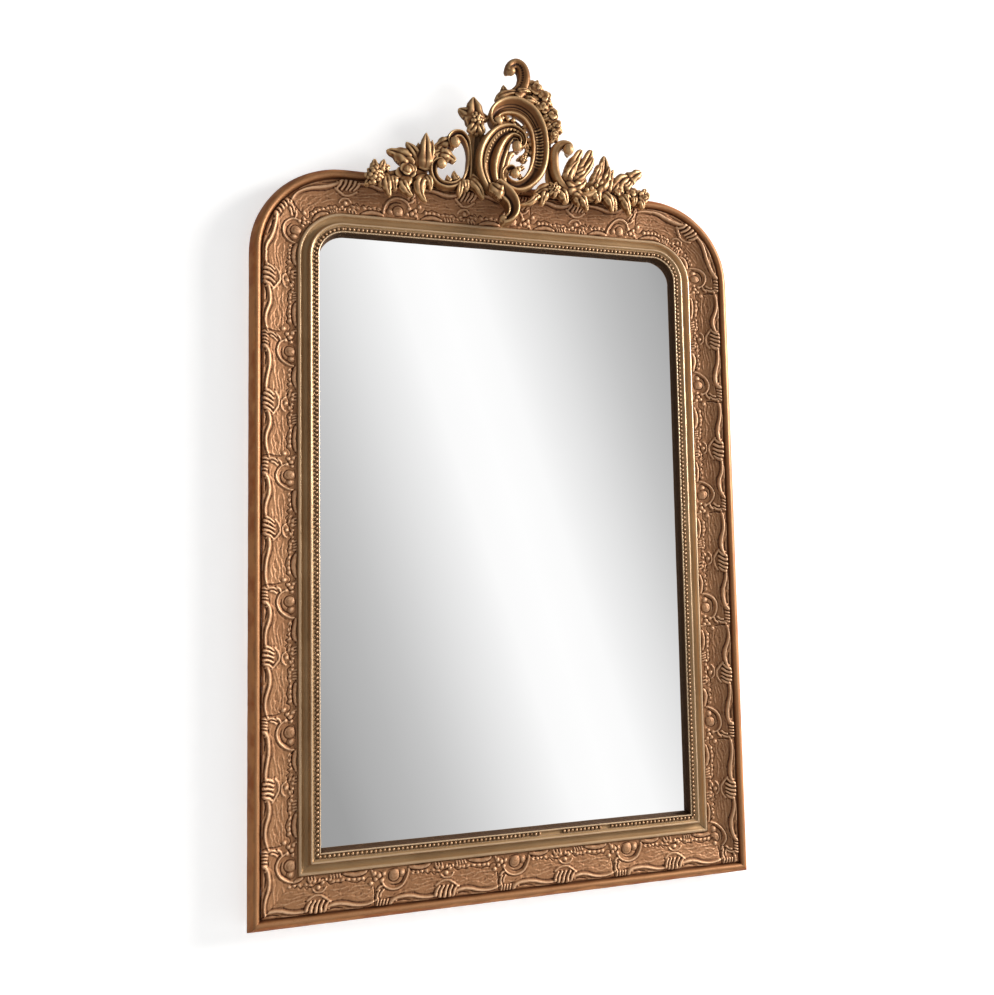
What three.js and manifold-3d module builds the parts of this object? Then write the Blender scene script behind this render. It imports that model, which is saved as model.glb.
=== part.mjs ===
// A gilded trumeau mirror: a tall mirror plate in a frame with rounded top corners,
// a wide band of moulded ornament and a pierced crest. Millimetres, +Z up, the front
// faces -Y and the back lies on the plane y = 0. The origin is on the back of the top
// rail, midway between the two hanging rings and level with their pivots.
import * as THREE from 'three';
import { mergeVertices } from 'three/addons/utils/BufferGeometryUtils.js';
import Module from 'manifold-3d';

const wasm = await Module();
wasm.setup();

// ---- Driving dimensions -----------------------------------------------------------

const SIGHT_WIDTH = 730; // visible glass
const SIGHT_HEIGHT = 1140;
const SIGHT_RADIUS = 48; // top corners of the visible glass
const BORDER = 127; // width of the frame round it
const GAP = 0.3; // left between touching pieces

const HALF_WIDTH = SIGHT_WIDTH / 2;
const HALF_HEIGHT = SIGHT_HEIGHT / 2;
const CORNER_X = HALF_WIDTH - SIGHT_RADIUS; // centre of the rounded corners
const CORNER_Z = HALF_HEIGHT - SIGHT_RADIUS;
const TOP_EDGE = HALF_HEIGHT + BORDER; // top of the frame, crest left out
const CORNER_STEPS = 40; // facets in a full turn

const CORE_FRONT = 18; // thickness of the softwood carcass
const CORE_INNER = 9.3; // rebate, measured outwards from the sight edge
const BAND_OUTER = 102.9; // where the ornament band and the carcass end

const GLASS_BACK = 14;
const GLASS_LAP = 8.7; // how far glass and boards reach under the frame
const BOARD_BACK = 5.7;
const BOARD_FRONT = 13.7;
const BOARDS = 4;

const PIVOT_RISE = 45; // ring pivots above the visible glass
const PIVOT_Z = HALF_HEIGHT + PIVOT_RISE;
const HANGER_X = 270; // hanging plates, either side of the middle
const PIVOT_DEPTH = 6; // ring pivot behind the back of the frame
const PLATE_WIDTH = 26;
const PLATE_TOP = 50; // above the pivot
const PLATE_THICK = 2;
const EYE_OUTER = 5;
const EYE_HOLE = 3.6;
const EYE_LENGTH = 8;
const RING_RADIUS = 16;
const RING_WIRE = 2.5;
const PLATE_SCREWS = [13, 42]; // above the pivot

const SCREW_SHANK = 2;
const SCREW_LENGTH = 15;
const SCREW_HEAD = 4;
const SCREW_HEAD_HEIGHT = 2;

const CREST_BACK = 40.3; // the crest stands just clear of the outer bead
const BATTEN_LEFT = -74;
const BATTEN_RIGHT = -16;
const BATTEN_FOOT = 600;
const BATTEN_TOP = 790;
const BATTEN_DEPTH = 8; // let into the back of the rail
const BATTEN_SCREWS = [622, 655];
const STRAP_WIDTH = 18;
const STRAP_THICK = 2.2;
const STRAP_FOOT = 642;
const STRAP_HEAD = 724;
const STRAP_SCREW = 662;
const STRAP_X = [-196, 203];

// ---- Finishes -----------------------------------------------------------------------

function finish(color, roughness, metalness) {
  return new THREE.MeshStandardMaterial({ color, roughness, metalness });
}

const BAND_GILT = finish(0xb98a58, 0.42, 0.85);
const COVE_GILT = finish(0xa8926a, 0.38, 0.85);
const BEAD_GILT = finish(0x9a6a3c, 0.45, 0.7);
const CREST_GILT = finish(0xc09a60, 0.4, 0.85);
const SOFTWOOD = finish(0x9a7850, 0.8, 0);
const MIRROR = finish(0xd6dade, 0.03, 1);
const IRON = finish(0x4b433c, 0.6, 0.8);

// ---- Solids: joining and cutting ------------------------------------------------------

// A closed geometry as a solid, turned right side out where its faces point inwards.
function solid(geometry) {
  const bare = geometry.clone();
  bare.deleteAttribute('normal');
  bare.deleteAttribute('uv');
  const merged = mergeVertices(bare, 1e-4);
  const points = merged.attributes.position.array;
  const corners = Uint32Array.from(merged.index.array);
  if (volumeOf(points, corners) < 0) corners.reverse();
  return new wasm.Manifold(
    new wasm.Mesh({ numProp: 3, vertProperties: new Float32Array(points), triVerts: corners }),
  );
}

function volumeOf(points, corners) {
  const at = (i) => new THREE.Vector3().fromArray(points, corners[i] * 3);
  let sum = 0;
  for (let i = 0; i < corners.length; i += 3) sum += at(i).dot(at(i + 1).cross(at(i + 2)));
  return sum / 6;
}

function geometryOf(shape) {
  const { vertProperties, triVerts } = shape.getMesh();
  const geometry = new THREE.BufferGeometry();
  geometry.setAttribute('position', new THREE.BufferAttribute(vertProperties, 3));
  geometry.setIndex(new THREE.BufferAttribute(triVerts, 1));
  geometry.computeVertexNormals();
  return geometry;
}

function joined(shapes) {
  return shapes.reduce((sum, shape) => sum.add(shape));
}

function cut(shape, ...cutters) {
  return cutters.reduce((rest, cutter) => rest.subtract(cutter), shape);
}

// ---- Solids: basic shapes -------------------------------------------------------------
// Depths are heights above the wall: a depth of 18 is the plane y = -18.

// An outline drawn in x and z, between two depths.
function slab(shape, back, front, bevel = 0, steps = 6) {
  const geometry = new THREE.ExtrudeGeometry(shape, {
    depth: front - back - 2 * bevel,
    curveSegments: steps,
    bevelEnabled: bevel > 0,
    bevelThickness: bevel,
    bevelSize: bevel,
    bevelOffset: -bevel,
    bevelSegments: 1,
  });
  geometry.rotateX(Math.PI / 2);
  geometry.translate(0, -(back + bevel), 0);
  return geometry;
}

function outline(points) {
  return new THREE.Shape(points.map(([x, z]) => new THREE.Vector2(x, z)));
}

function block(left, right, bottom, top, back, front) {
  const geometry = new THREE.BoxGeometry(right - left, front - back, top - bottom);
  geometry.translate((left + right) / 2, -(back + front) / 2, (bottom + top) / 2);
  return geometry;
}

// A round bar square to the wall, between two depths.
function pin(x, z, radius, back, front) {
  const geometry = new THREE.CylinderGeometry(radius, radius, front - back, 12);
  geometry.translate(x, -(back + front) / 2, z);
  return geometry;
}

// A section drawn in depth and z, running along x.
function sideSlab(points, left, right) {
  const shape = outline(points.map(([depth, z]) => [-depth, z]));
  const geometry = new THREE.ExtrudeGeometry(shape, { depth: right - left, bevelEnabled: false });
  geometry.rotateX(Math.PI / 2);
  geometry.rotateZ(Math.PI / 2);
  return geometry.translate(left, 0, 0);
}

// ---- The frame: six lengths of each moulding -------------------------------------------
// A section is a list of [outwards from the sight edge, height above the wall].

const SECTIONS = {
  core: {
    material: SOFTWOOD,
    points: [[CORE_INNER, 0], [BAND_OUTER, 0], [BAND_OUTER, CORE_FRONT], [CORE_INNER, CORE_FRONT]],
  },
  sight_strip: {
    material: COVE_GILT,
    points: [
      [0, 18.3], [10.6, 18.3], [10.6, 33.4], [9.6, 31.6], [6.3, 30.6], [3, 31.8], [2.4, 34], [0.4, 34],
      [0, 33.4],
    ],
  },
  cove_moulding: {
    material: COVE_GILT,
    points: [
      [11, 18.3], [41.1, 18.3], [41.1, 22.8], [39.6, 24], [38.2, 26.4], [36.6, 27.8], [34.6, 28],
      [32.6, 26.8], [30, 24.6], [27, 23.2], [24.6, 23], [22, 24], [20, 26.6], [18.4, 30], [17.2, 33.6],
      [16.4, 35.4], [14.8, 35.6], [12.4, 34.4], [11, 33.6],
    ],
  },
  ornament_band: {
    material: BAND_GILT,
    points: [
      [41.4, 18.3], [BAND_OUTER, 18.3], [BAND_OUTER, 37.2], [100, 38], [96, 37.3], [89, 34.8],
      [79, 30.8], [69, 27.4], [59, 25.2], [50, 24.2], [41.4, 24],
    ],
  },
  outer_moulding: {
    material: BEAD_GILT,
    points: [
      [103.2, 0], [BORDER, 0], [BORDER, 20], [126, 23], [123.5, 28.5], [121, 33], [118, 37],
      [114.5, 39.4], [111, 40], [108.5, 39], [106.5, 36.6], [105.5, 34.2], [103.2, 33.8],
    ],
  },
};

// A straight length of a section. The extrusion runs along z as a right-hand stile.
function length(section, size) {
  const shape = outline(section.map(([outwards, height]) => [outwards, -height]));
  return new THREE.ExtrudeGeometry(shape, { depth: size, bevelEnabled: false });
}

// The side of the 45 degree mitre on which a stile or the bottom rail lies.
function mitreKeeper(isStile, side) {
  const reach = BORDER + 20;
  const inner = [side * (HALF_WIDTH - reach), -HALF_HEIGHT + reach];
  const outer = [side * (HALF_WIDTH + reach), -HALF_HEIGHT - reach];
  const away = isStile ? [outer[0], HALF_HEIGHT] : [-outer[0], outer[1]];
  const beyond = isStile ? [inner[0], HALF_HEIGHT] : [-outer[0], inner[1]];
  const shift = (isStile ? 1 : -1) * (GAP / 2) * Math.SQRT2;
  const points = [inner, outer, away, beyond].map(([x, z], i) => [x, i < 2 ? z + shift : z]);
  return solid(slab(outline(points), -1, 60));
}

function stile(section, side) {
  const geometry = length(section.map(([u, h]) => [side * u, h]), SIGHT_HEIGHT + BORDER);
  geometry.translate(side * HALF_WIDTH, 0, -TOP_EDGE);
  const whole = solid(geometry);
  const belowCorner = block(-600, 600, -TOP_EDGE - 1, CORNER_Z - GAP / 2, -1, 60);
  return whole.intersect(solid(belowCorner)).intersect(mitreKeeper(true, side));
}

function bottomRail(section) {
  const geometry = length(section, 2 * (HALF_WIDTH + BORDER));
  geometry.rotateY(Math.PI / 2);
  geometry.translate(-HALF_WIDTH - BORDER, 0, -HALF_HEIGHT);
  return solid(geometry).intersect(mitreKeeper(false, -1)).intersect(mitreKeeper(false, 1));
}

function topRail(section) {
  const geometry = length(section, 2 * CORNER_X - GAP);
  geometry.rotateY(-Math.PI / 2);
  geometry.translate(CORNER_X - GAP / 2, 0, HALF_HEIGHT);
  return solid(geometry);
}

// A quarter of a full turn about the corner's centre.
function topCorner(section, side) {
  const loop = [...section, section[0]];
  const points = loop.map(([u, h]) => new THREE.Vector2(SIGHT_RADIUS + u, -h));
  const turn = new THREE.LatheGeometry(points, CORNER_STEPS);
  turn.translate(side * CORNER_X, 0, CORNER_Z);
  const near = side * (CORNER_X + GAP / 2);
  const far = side * (CORNER_X + 300);
  const left = Math.min(near, far);
  const right = Math.max(near, far);
  const quarter = block(left, right, CORNER_Z + GAP / 2, CORNER_Z + 300, -1, 60);
  return solid(turn).intersect(solid(quarter));
}

// Where the crest's bracket and straps are let into the back of the top rail.
function backRecesses() {
  const batten = block(
    BATTEN_LEFT - GAP, BATTEN_RIGHT + GAP, BATTEN_FOOT - GAP, TOP_EDGE + 1, -1, BATTEN_DEPTH + GAP,
  );
  const straps = STRAP_X.map((x) => block(
    x - STRAP_WIDTH / 2 - GAP, x + STRAP_WIDTH / 2 + GAP, STRAP_FOOT - GAP, TOP_EDGE + 1,
    -1, STRAP_THICK + 2 * GAP,
  ));
  return [batten, ...straps].map(solid);
}

function screwHoles() {
  return SCREWS.map(({ x, z, seat }) => (
    solid(pin(x, z, SCREW_SHANK + GAP, seat - 5, seat + SCREW_LENGTH + GAP))
  ));
}

// ---- Glass and back boards ---------------------------------------------------------------

// The rebate's outline between two levels, with the rounded corners where it reaches the top.
function rebateOutline(bottom, top, inset) {
  const side = HALF_WIDTH + GLASS_LAP - inset;
  const radius = SIGHT_RADIUS + GLASS_LAP - inset;
  const shape = new THREE.Shape();
  shape.moveTo(-side, bottom);
  shape.lineTo(side, bottom);
  if (top < CORNER_Z + radius) {
    shape.lineTo(side, top);
    shape.lineTo(-side, top);
  } else {
    shape.lineTo(side, CORNER_Z);
    shape.absarc(CORNER_X, CORNER_Z, radius, 0, Math.PI / 2);
    shape.lineTo(-CORNER_X, top);
    shape.absarc(-CORNER_X, CORNER_Z, radius, Math.PI / 2, Math.PI);
  }
  return shape;
}

function glass() {
  const reach = HALF_HEIGHT + GLASS_LAP;
  return slab(rebateOutline(-reach, reach, 0), GLASS_BACK, CORE_FRONT, 0, 16);
}

function backBoard(number) {
  const reach = HALF_HEIGHT + GLASS_LAP;
  const pitch = (2 * reach) / BOARDS;
  const bottom = -reach + number * pitch + (number > 0 ? GAP / 2 : 0);
  const top = -reach + (number + 1) * pitch - (number < BOARDS - 1 ? GAP / 2 : 0);
  return slab(rebateOutline(bottom, top, 0), BOARD_BACK, BOARD_FRONT, 0, 16);
}

// ---- Hanging plates, rings and screws ------------------------------------------------------

const SCREWS = [
  ...[-1, 1].flatMap((side) => PLATE_SCREWS.map((rise, i) => ({
    name: `${side < 0 ? 'left' : 'right'}_hanger_screw_${i + 1}`,
    x: side * HANGER_X,
    z: PIVOT_Z + rise,
    seat: -PLATE_THICK - GAP,
  }))),
  ...BATTEN_SCREWS.map((z, i) => ({
    name: `crest_bracket_screw_${i + 1}`,
    x: (BATTEN_LEFT + BATTEN_RIGHT) / 2,
    z,
    seat: 0,
  })),
  ...STRAP_X.map((x) => ({
    name: `${x < 0 ? 'left' : 'right'}_strap_screw`,
    x,
    z: STRAP_SCREW,
    seat: GAP,
  })),
];

// A plate with a turned-over eye at its foot, drawn about the ring's pivot.
function hangerPlate(side) {
  const half = PLATE_WIDTH / 2;
  const flat = new THREE.Shape();
  flat.moveTo(-half, 2);
  flat.lineTo(half, 2);
  flat.lineTo(half, PLATE_TOP - half);
  flat.absarc(0, PLATE_TOP - half, half, 0, Math.PI);
  flat.lineTo(-half, 2);
  const plate = solid(slab(flat, -PLATE_THICK - GAP, -GAP, 0, 8));
  const eye = new THREE.CylinderGeometry(EYE_OUTER, EYE_OUTER, EYE_LENGTH, 16);
  const hole = new THREE.CylinderGeometry(EYE_HOLE, EYE_HOLE, EYE_LENGTH + 2, 16);
  for (const round of [eye, hole]) {
    round.rotateZ(Math.PI / 2);
    round.translate(0, PIVOT_DEPTH, 0);
  }
  const neck = block(-EYE_LENGTH / 2, EYE_LENGTH / 2, 1, 7, -PIVOT_DEPTH + 2, -GAP);
  const holes = PLATE_SCREWS.map((rise) => solid(pin(0, rise, SCREW_SHANK + GAP, -9, 1)));
  const whole = joined([plate, solid(eye), solid(neck)]);
  const geometry = geometryOf(cut(whole, solid(hole), ...holes));
  return geometry.translate(side * HANGER_X, 0, PIVOT_Z);
}

function ring(side) {
  const geometry = new THREE.TorusGeometry(RING_RADIUS, RING_WIRE, 8, 24);
  geometry.rotateX(Math.PI / 2);
  return geometry.translate(side * HANGER_X, PIVOT_DEPTH, PIVOT_Z - RING_RADIUS);
}

// A round-headed wood screw with a slot. Its head bears on the plane at depth "seat".
function screw({ x, z, seat }) {
  const neck = seat - GAP / 2;
  const profile = [
    [0, seat + SCREW_LENGTH], [SCREW_SHANK, seat + SCREW_LENGTH - 4], [SCREW_SHANK, neck], [SCREW_HEAD, neck],
    [SCREW_HEAD * 0.8, neck - SCREW_HEAD_HEIGHT * 0.75], [0, neck - SCREW_HEAD_HEIGHT],
  ];
  const turned = new THREE.LatheGeometry(profile.map(([r, depth]) => new THREE.Vector2(r, -depth)), 10);
  turned.translate(x, 0, z);
  const slot = block(x - 5, x + 5, z - 0.5, z + 0.5, seat - 5, neck - 1);
  return geometryOf(cut(solid(turned), solid(slot)));
}

// ---- What carries the crest ---------------------------------------------------------------

function crestBracket() {
  const front = CREST_BACK - GAP;
  const step = TOP_EDGE + GAP;
  const section = [
    [0, BATTEN_FOOT], [BATTEN_DEPTH, BATTEN_FOOT], [BATTEN_DEPTH, step], [front, step],
    [front, BATTEN_TOP], [front - 12, BATTEN_TOP], [0, BATTEN_TOP - 56],
  ];
  const bracket = solid(sideSlab(section, BATTEN_LEFT, BATTEN_RIGHT));
  const x = (BATTEN_LEFT + BATTEN_RIGHT) / 2;
  const holes = BATTEN_SCREWS.map((z) => solid(pin(x, z, SCREW_SHANK + GAP, -1, 20)));
  return geometryOf(cut(bracket, ...holes));
}

// A flat iron bar bent twice: up the back, over the frame's top edge, and up behind the crest.
function crestStrap(x) {
  const front = CREST_BACK - GAP;
  const shelf = TOP_EDGE + GAP;
  const section = [
    [GAP, STRAP_FOOT], [GAP + STRAP_THICK, STRAP_FOOT], [GAP + STRAP_THICK, shelf], [front, shelf],
    [front, STRAP_HEAD], [front - STRAP_THICK, STRAP_HEAD], [front - STRAP_THICK, shelf + STRAP_THICK],
    [GAP, shelf + STRAP_THICK],
  ];
  const bar = solid(sideSlab(section, x - STRAP_WIDTH / 2, x + STRAP_WIDTH / 2));
  return geometryOf(cut(bar, solid(pin(x, STRAP_SCREW, SCREW_SHANK + GAP, -1, 5))));
}

// ---- The crest: ribbons, leaves and flowers -------------------------------------------------
// Places are x and z from the centre of the glass. "grow" widens a shape all round, for cutting
// its neighbour with a gap.

// A scroll along a centreline whose points are [x, z, width].
function ribbon(path, back, front, grow = 0) {
  const curve = new THREE.CatmullRomCurve3(path.map((p) => new THREE.Vector3(...p)), false, 'centripetal');
  const count = path.length * 2;
  const left = [];
  const right = [];
  for (let i = 0; i <= count; i += 1) {
    const at = curve.getPoint(i / count);
    const along = curve.getTangent(i / count);
    const across = new THREE.Vector2(-along.y, along.x).setLength(at.z / 2 + grow);
    left.push([at.x + across.x, at.y + across.y]);
    right.unshift([at.x - across.x, at.y - across.y]);
  }
  const bevel = grow > 0 ? 0 : 2;
  return solid(slab(outline([...left, ...right]), back - grow, front + grow, bevel));
}

// A pointed leaf from its foot to its tip, widest a third of the way up.
function leaf([footX, footZ, tipX, tipZ, width], back, front, grow = 0) {
  const foot = new THREE.Vector2(footX, footZ);
  const tip = new THREE.Vector2(tipX, tipZ);
  const along = tip.clone().sub(foot);
  const across = new THREE.Vector2(-along.y, along.x).setLength(width / 2 + grow);
  const reach = along.clone().setLength(grow);
  foot.sub(reach);
  tip.add(reach);
  const place = (share, side) => foot.clone().addScaledVector(along, share).addScaledVector(across, side);
  const shape = new THREE.Shape();
  shape.moveTo(...place(0, 0.35));
  shape.bezierCurveTo(...place(0.25, 1.15), ...place(0.6, 1.05), tip.x, tip.y);
  shape.bezierCurveTo(...place(0.6, -1.05), ...place(0.25, -1.15), ...place(0, -0.35));
  return solid(slab(shape, back - grow, front + grow, 0, 4));
}

// A domed bud or flower head with notched petals.
function bloom([x, z, radius], back, front, grow = 0) {
  const petals = 5;
  const shape = new THREE.Shape();
  const steps = 10;
  for (let i = 0; i < steps; i += 1) {
    const angle = (i / steps) * 2 * Math.PI;
    const reach = (radius + grow) * (0.9 + 0.1 * Math.cos(petals * angle));
    const spot = [x + reach * Math.cos(angle), z + reach * Math.sin(angle)];
    if (i === 0) shape.moveTo(...spot);
    else shape.lineTo(...spot);
  }
  const rim = solid(slab(shape, back - grow, front - radius * 0.35 + grow, grow > 0 ? 0 : 1.5));
  const dome = new THREE.SphereGeometry(radius * 0.6, 8, 5);
  const rise = Math.min(radius * 0.5, (front - back) / 2);
  dome.scale(1, rise / (radius * 0.6), 1);
  dome.translate(x, -(front - rise), z);
  return rim.add(solid(dome));
}

const INNER_SCROLL = [
  [24, 765, 9], [31, 775, 11], [26, 788, 15], [10, 793, 22], [-10, 786, 32], [-28, 768, 40], [-39, 745, 45],
  [-41, 720, 46], [-35, 698, 45], [-22, 680, 40], [-6, 663, 33], [4, 645, 27], [6, 628, 23], [0, 615, 17],
  [-10, 610, 9], [-20, 611, 4],
];
const BIG_SCROLL = [
  [-19, 818, 8], [-29, 816, 12], [-32, 828, 17], [-24, 842, 24], [-7, 851, 32], [15, 853, 37], [40, 844, 35],
  [58, 824, 32], [69, 797, 30], [73, 765, 30], [70, 733, 29], [58, 710, 27], [40, 696, 24], [22, 692, 20],
  [6, 697, 17], [-3, 709, 14], [-1, 722, 12], [9, 729, 9], [19, 725, 6],
];
const PLUME = [
  [14, 868, 30], [26, 882, 28], [34, 900, 24], [36, 918, 21], [30, 932, 20], [17, 937, 19], [6, 932, 16],
  [3, 921, 11], [6, 915, 6],
];
const LEFT_ARCH = [
  [-102, 757, 6], [-112, 761, 13], [-111, 773, 17], [-97, 780, 18], [-84, 772, 17], [-78, 755, 14],
  [-77, 735, 14], [-79, 715, 15], [-83, 698, 18], [-88, 680, 22], [-88, 668, 16],
];
const LEFT_HOOK = [
  [-131, 716, 6], [-138, 724, 10], [-149, 718, 13], [-153, 703, 14], [-149, 688, 15], [-138, 677, 15],
  [-122, 673, 14], [-106, 677, 13], [-92, 687, 12],
];
const RIGHT_ARCH = [
  [125, 769, 7], [132, 774, 10], [130, 784, 11], [119, 786, 13], [106, 777, 14], [98, 760, 15], [96, 738, 16],
  [100, 716, 17], [113, 699, 16], [132, 688, 14], [155, 682, 12], [176, 686, 12], [196, 698, 18],
];
// The thin ground that shows between the big scroll and the right-hand one.
const RIGHT_WEB = [[93, 790, 8], [91, 760, 10], [90, 730, 14], [92, 706, 20], [100, 696, 20]];
const LATTICE_ARC = [
  [-22, 822, 12], [0, 819, 16], [20, 814, 17], [35, 800, 15], [43, 782, 13], [46, 762, 14], [36, 748, 12],
];
const LEFT_STEM = [
  [-265, 676, 26], [-240, 680, 18], [-205, 690, 22], [-180, 690, 20], [-160, 690, 18],
];
const RIGHT_STEM = [
  [196, 690, 22], [215, 688, 24], [240, 690, 22], [265, 686, 18], [290, 682, 20],
];
const ROSE_STEM = [[44, 882, 26], [62, 862, 32], [78, 838, 30], [89, 812, 24], [94, 784, 12]];

// Leaves are [foot x, foot z, tip x, tip z, width]; blooms are [x, z, radius].
const TONGUE_LEAVES = [[-38, 690, -60, 676, 10]];
const PLUME_LEAVES = [[10, 872, -7, 891, 12]];
const LEFT_SCROLL_LEAVES = [
  [-84, 692, -59, 681, 10], [-82, 684, -51, 655, 15], [-88, 680, -78, 655, 13], [-96, 682, -98, 651, 13],
  [-140, 727, -103, 727, 20], [-111, 766, -142, 740, 16],
];
const LEFT_SPRAY_LEAVES = [
  [-165, 700, -164, 772, 26], [-168, 700, -184, 751, 18], [-160, 702, -143, 760, 16], [-180, 704, -202, 751, 22],
  [-205, 706, -241, 729, 26], [-262, 690, -266, 714, 14], [-254, 690, -246, 714, 12], [-236, 686, -235, 643, 16],
  [-215, 684, -222, 652, 16], [-192, 686, -196, 645, 14], [-156, 690, -172, 640, 22],
];
const LEFT_SPRAY_BLOOMS = [[-205, 699, 24], [-264, 680, 21], [-240, 666, 13]];
const RIGHT_SCROLL_LEAVES = [
  [118, 702, 182, 780, 30], [118, 702, 160, 777, 24], [126, 698, 166, 720, 22], [96, 690, 48, 672, 16],
  [70, 680, 77, 652, 12], [60, 672, 22, 645, 10], [110, 690, 128, 660, 12], [130, 688, 152, 652, 14],
  [138, 686, 166, 650, 10],
];
const RIGHT_SCROLL_BLOOMS = [[95, 684, 15]];
const RIGHT_SPRAY_LEAVES = [
  [188, 690, 205, 770, 30], [196, 690, 222, 742, 22], [202, 690, 238, 729, 18], [236, 690, 256, 728, 24],
  [250, 716, 285, 743, 22], [250, 690, 259, 647, 14], [212, 688, 221, 650, 14], [230, 684, 232, 649, 12],
  [188, 690, 192, 662, 14], [284, 690, 288, 704, 12],
];
const RIGHT_SPRAY_BLOOMS = [[250, 700, 16], [288, 682, 17], [272, 688, 12]];
const ROSES = [[58, 892, 15], [71, 873, 19], [79, 851, 13], [93, 832, 14], [103, 810, 13]];
const FLOWER_PETALS = [
  [-64, 806, -68, 857, 27], [-64, 812, -98, 829, 20], [-62, 812, -38, 817, 16], [-66, 812, -82, 784, 18],
  [-60, 812, -46, 784, 18],
];
const FLOWER_HEART = [-64, 811, 15];
const LATTICE_SPIKES = [
  [18, 814, 16, 832, 8], [34, 802, 46, 818, 8], [44, 776, 57, 782, 7], [44, 760, 57, 752, 8],
  [36, 750, 20, 742, 9], [38, 750, 34, 735, 8], [8, 816, -2, 834, 8],
];

// How far each ornament's front stands from the wall.
const DEPTH_FRONT = {
  inner: 72,
  big: 66,
  plume: 66,
  side: 61,
  spray: 60,
  rose: 68,
  flower: 66,
  lattice: 53,
  web: 47,
};

function leaves(list, back, front, grow) {
  return list.map((one) => leaf(one, back, front, grow));
}

function blooms(list, back, front, grow) {
  return list.map((one) => bloom(one, back, front, grow));
}

// A hollow along the front of a scroll, half as wide as the scroll itself.
function channel(path, front) {
  const middle = path.slice(3, -3).map(([x, z, width]) => [x, z, width * 0.45]);
  return ribbon(middle, front - 7, front + 5);
}

function innerScroll(grow = 0) {
  const front = DEPTH_FRONT.inner;
  return joined([
    ribbon(INNER_SCROLL, CREST_BACK, front, grow),
    ...leaves(TONGUE_LEAVES, CREST_BACK, front - 10, grow),
  ]);
}

function bigScroll(grow = 0) {
  return ribbon(BIG_SCROLL, CREST_BACK, DEPTH_FRONT.big, grow);
}

function plume(grow = 0) {
  return joined([
    ribbon(PLUME, CREST_BACK, DEPTH_FRONT.plume, grow),
    ...leaves(PLUME_LEAVES, CREST_BACK, DEPTH_FRONT.plume - 6, grow),
  ]);
}

function roseSpray(grow = 0) {
  return joined([
    ribbon(ROSE_STEM, CREST_BACK, DEPTH_FRONT.rose - 8, grow),
    ...blooms(ROSES, CREST_BACK + 4, DEPTH_FRONT.rose, grow),
  ]);
}

function leftFlower(grow = 0) {
  return joined([
    ...leaves(FLOWER_PETALS, CREST_BACK, DEPTH_FRONT.flower - 6, grow),
    bloom(FLOWER_HEART, CREST_BACK, DEPTH_FRONT.flower, grow),
  ]);
}

function leftScroll(grow = 0) {
  return joined([
    ribbon(LEFT_ARCH, CREST_BACK, DEPTH_FRONT.side, grow),
    ribbon(LEFT_HOOK, CREST_BACK, DEPTH_FRONT.side, grow),
    ...leaves(LEFT_SCROLL_LEAVES, CREST_BACK, DEPTH_FRONT.side - 4, grow),
  ]);
}

function rightScroll(grow = 0) {
  return joined([
    ribbon(RIGHT_ARCH, CREST_BACK, DEPTH_FRONT.side, grow),
    ...leaves(RIGHT_SCROLL_LEAVES, CREST_BACK, DEPTH_FRONT.side - 4, grow),
    ...blooms(RIGHT_SCROLL_BLOOMS, CREST_BACK, DEPTH_FRONT.side, grow),
    ribbon(RIGHT_WEB, CREST_BACK, DEPTH_FRONT.web, grow),
  ]);
}

function leftSpray() {
  return joined([
    ribbon(LEFT_STEM, CREST_BACK, DEPTH_FRONT.spray - 6),
    ...leaves(LEFT_SPRAY_LEAVES, CREST_BACK, DEPTH_FRONT.spray - 3),
    ...blooms(LEFT_SPRAY_BLOOMS, CREST_BACK, DEPTH_FRONT.spray),
  ]);
}

function rightSpray() {
  return joined([
    ribbon(RIGHT_STEM, CREST_BACK, DEPTH_FRONT.spray - 6),
    ...leaves(RIGHT_SPRAY_LEAVES, CREST_BACK, DEPTH_FRONT.spray - 3),
    ...blooms(RIGHT_SPRAY_BLOOMS, CREST_BACK, DEPTH_FRONT.spray),
  ]);
}

function lattice() {
  return joined([
    ribbon(LATTICE_ARC, CREST_BACK, DEPTH_FRONT.lattice),
    ...leaves(LATTICE_SPIKES, CREST_BACK, DEPTH_FRONT.lattice - 2),
  ]);
}

function crestPieces() {
  const inner = innerScroll(GAP);
  const big = bigScroll(GAP);
  const left = leftScroll(GAP);
  const right = rightScroll(GAP);
  return {
    crest_inner_scroll: cut(innerScroll(), channel(INNER_SCROLL, DEPTH_FRONT.inner)),
    crest_big_scroll: cut(bigScroll(), channel(BIG_SCROLL, DEPTH_FRONT.big), inner),
    crest_plume: cut(plume(), big),
    crest_rose_spray: cut(roseSpray(), big, plume(GAP)),
    crest_left_flower: cut(leftFlower(), inner, big),
    crest_left_scroll: cut(leftScroll(), inner, leftFlower(GAP)),
    crest_right_scroll: cut(rightScroll(), inner, big, roseSpray(GAP)),
    crest_left_spray: cut(leftSpray(), left),
    crest_right_spray: cut(rightSpray(), right),
    crest_lattice: cut(lattice(), inner, big),
  };
}

// ---- The whole mirror -------------------------------------------------------------------------

const mirror = new THREE.Group();
mirror.position.z = -PIVOT_Z;

function add(name, geometry, material) {
  const mesh = new THREE.Mesh(geometry, material);
  mesh.name = name;
  mirror.add(mesh);
}

function addFrame() {
  const recesses = backRecesses();
  const holes = screwHoles();
  for (const [layer, { points, material }] of Object.entries(SECTIONS)) {
    const behind = layer === 'core' ? [...recesses, ...holes] : [];
    const cutters = layer === 'outer_moulding' ? recesses : behind;
    add(`left_stile_${layer}`, geometryOf(stile(points, -1)), material);
    add(`right_stile_${layer}`, geometryOf(stile(points, 1)), material);
    add(`bottom_rail_${layer}`, geometryOf(bottomRail(points)), material);
    add(`top_rail_${layer}`, geometryOf(cut(topRail(points), ...cutters)), material);
    add(`top_left_corner_${layer}`, geometryOf(topCorner(points, -1)), material);
    add(`top_right_corner_${layer}`, geometryOf(topCorner(points, 1)), material);
  }
}

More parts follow.
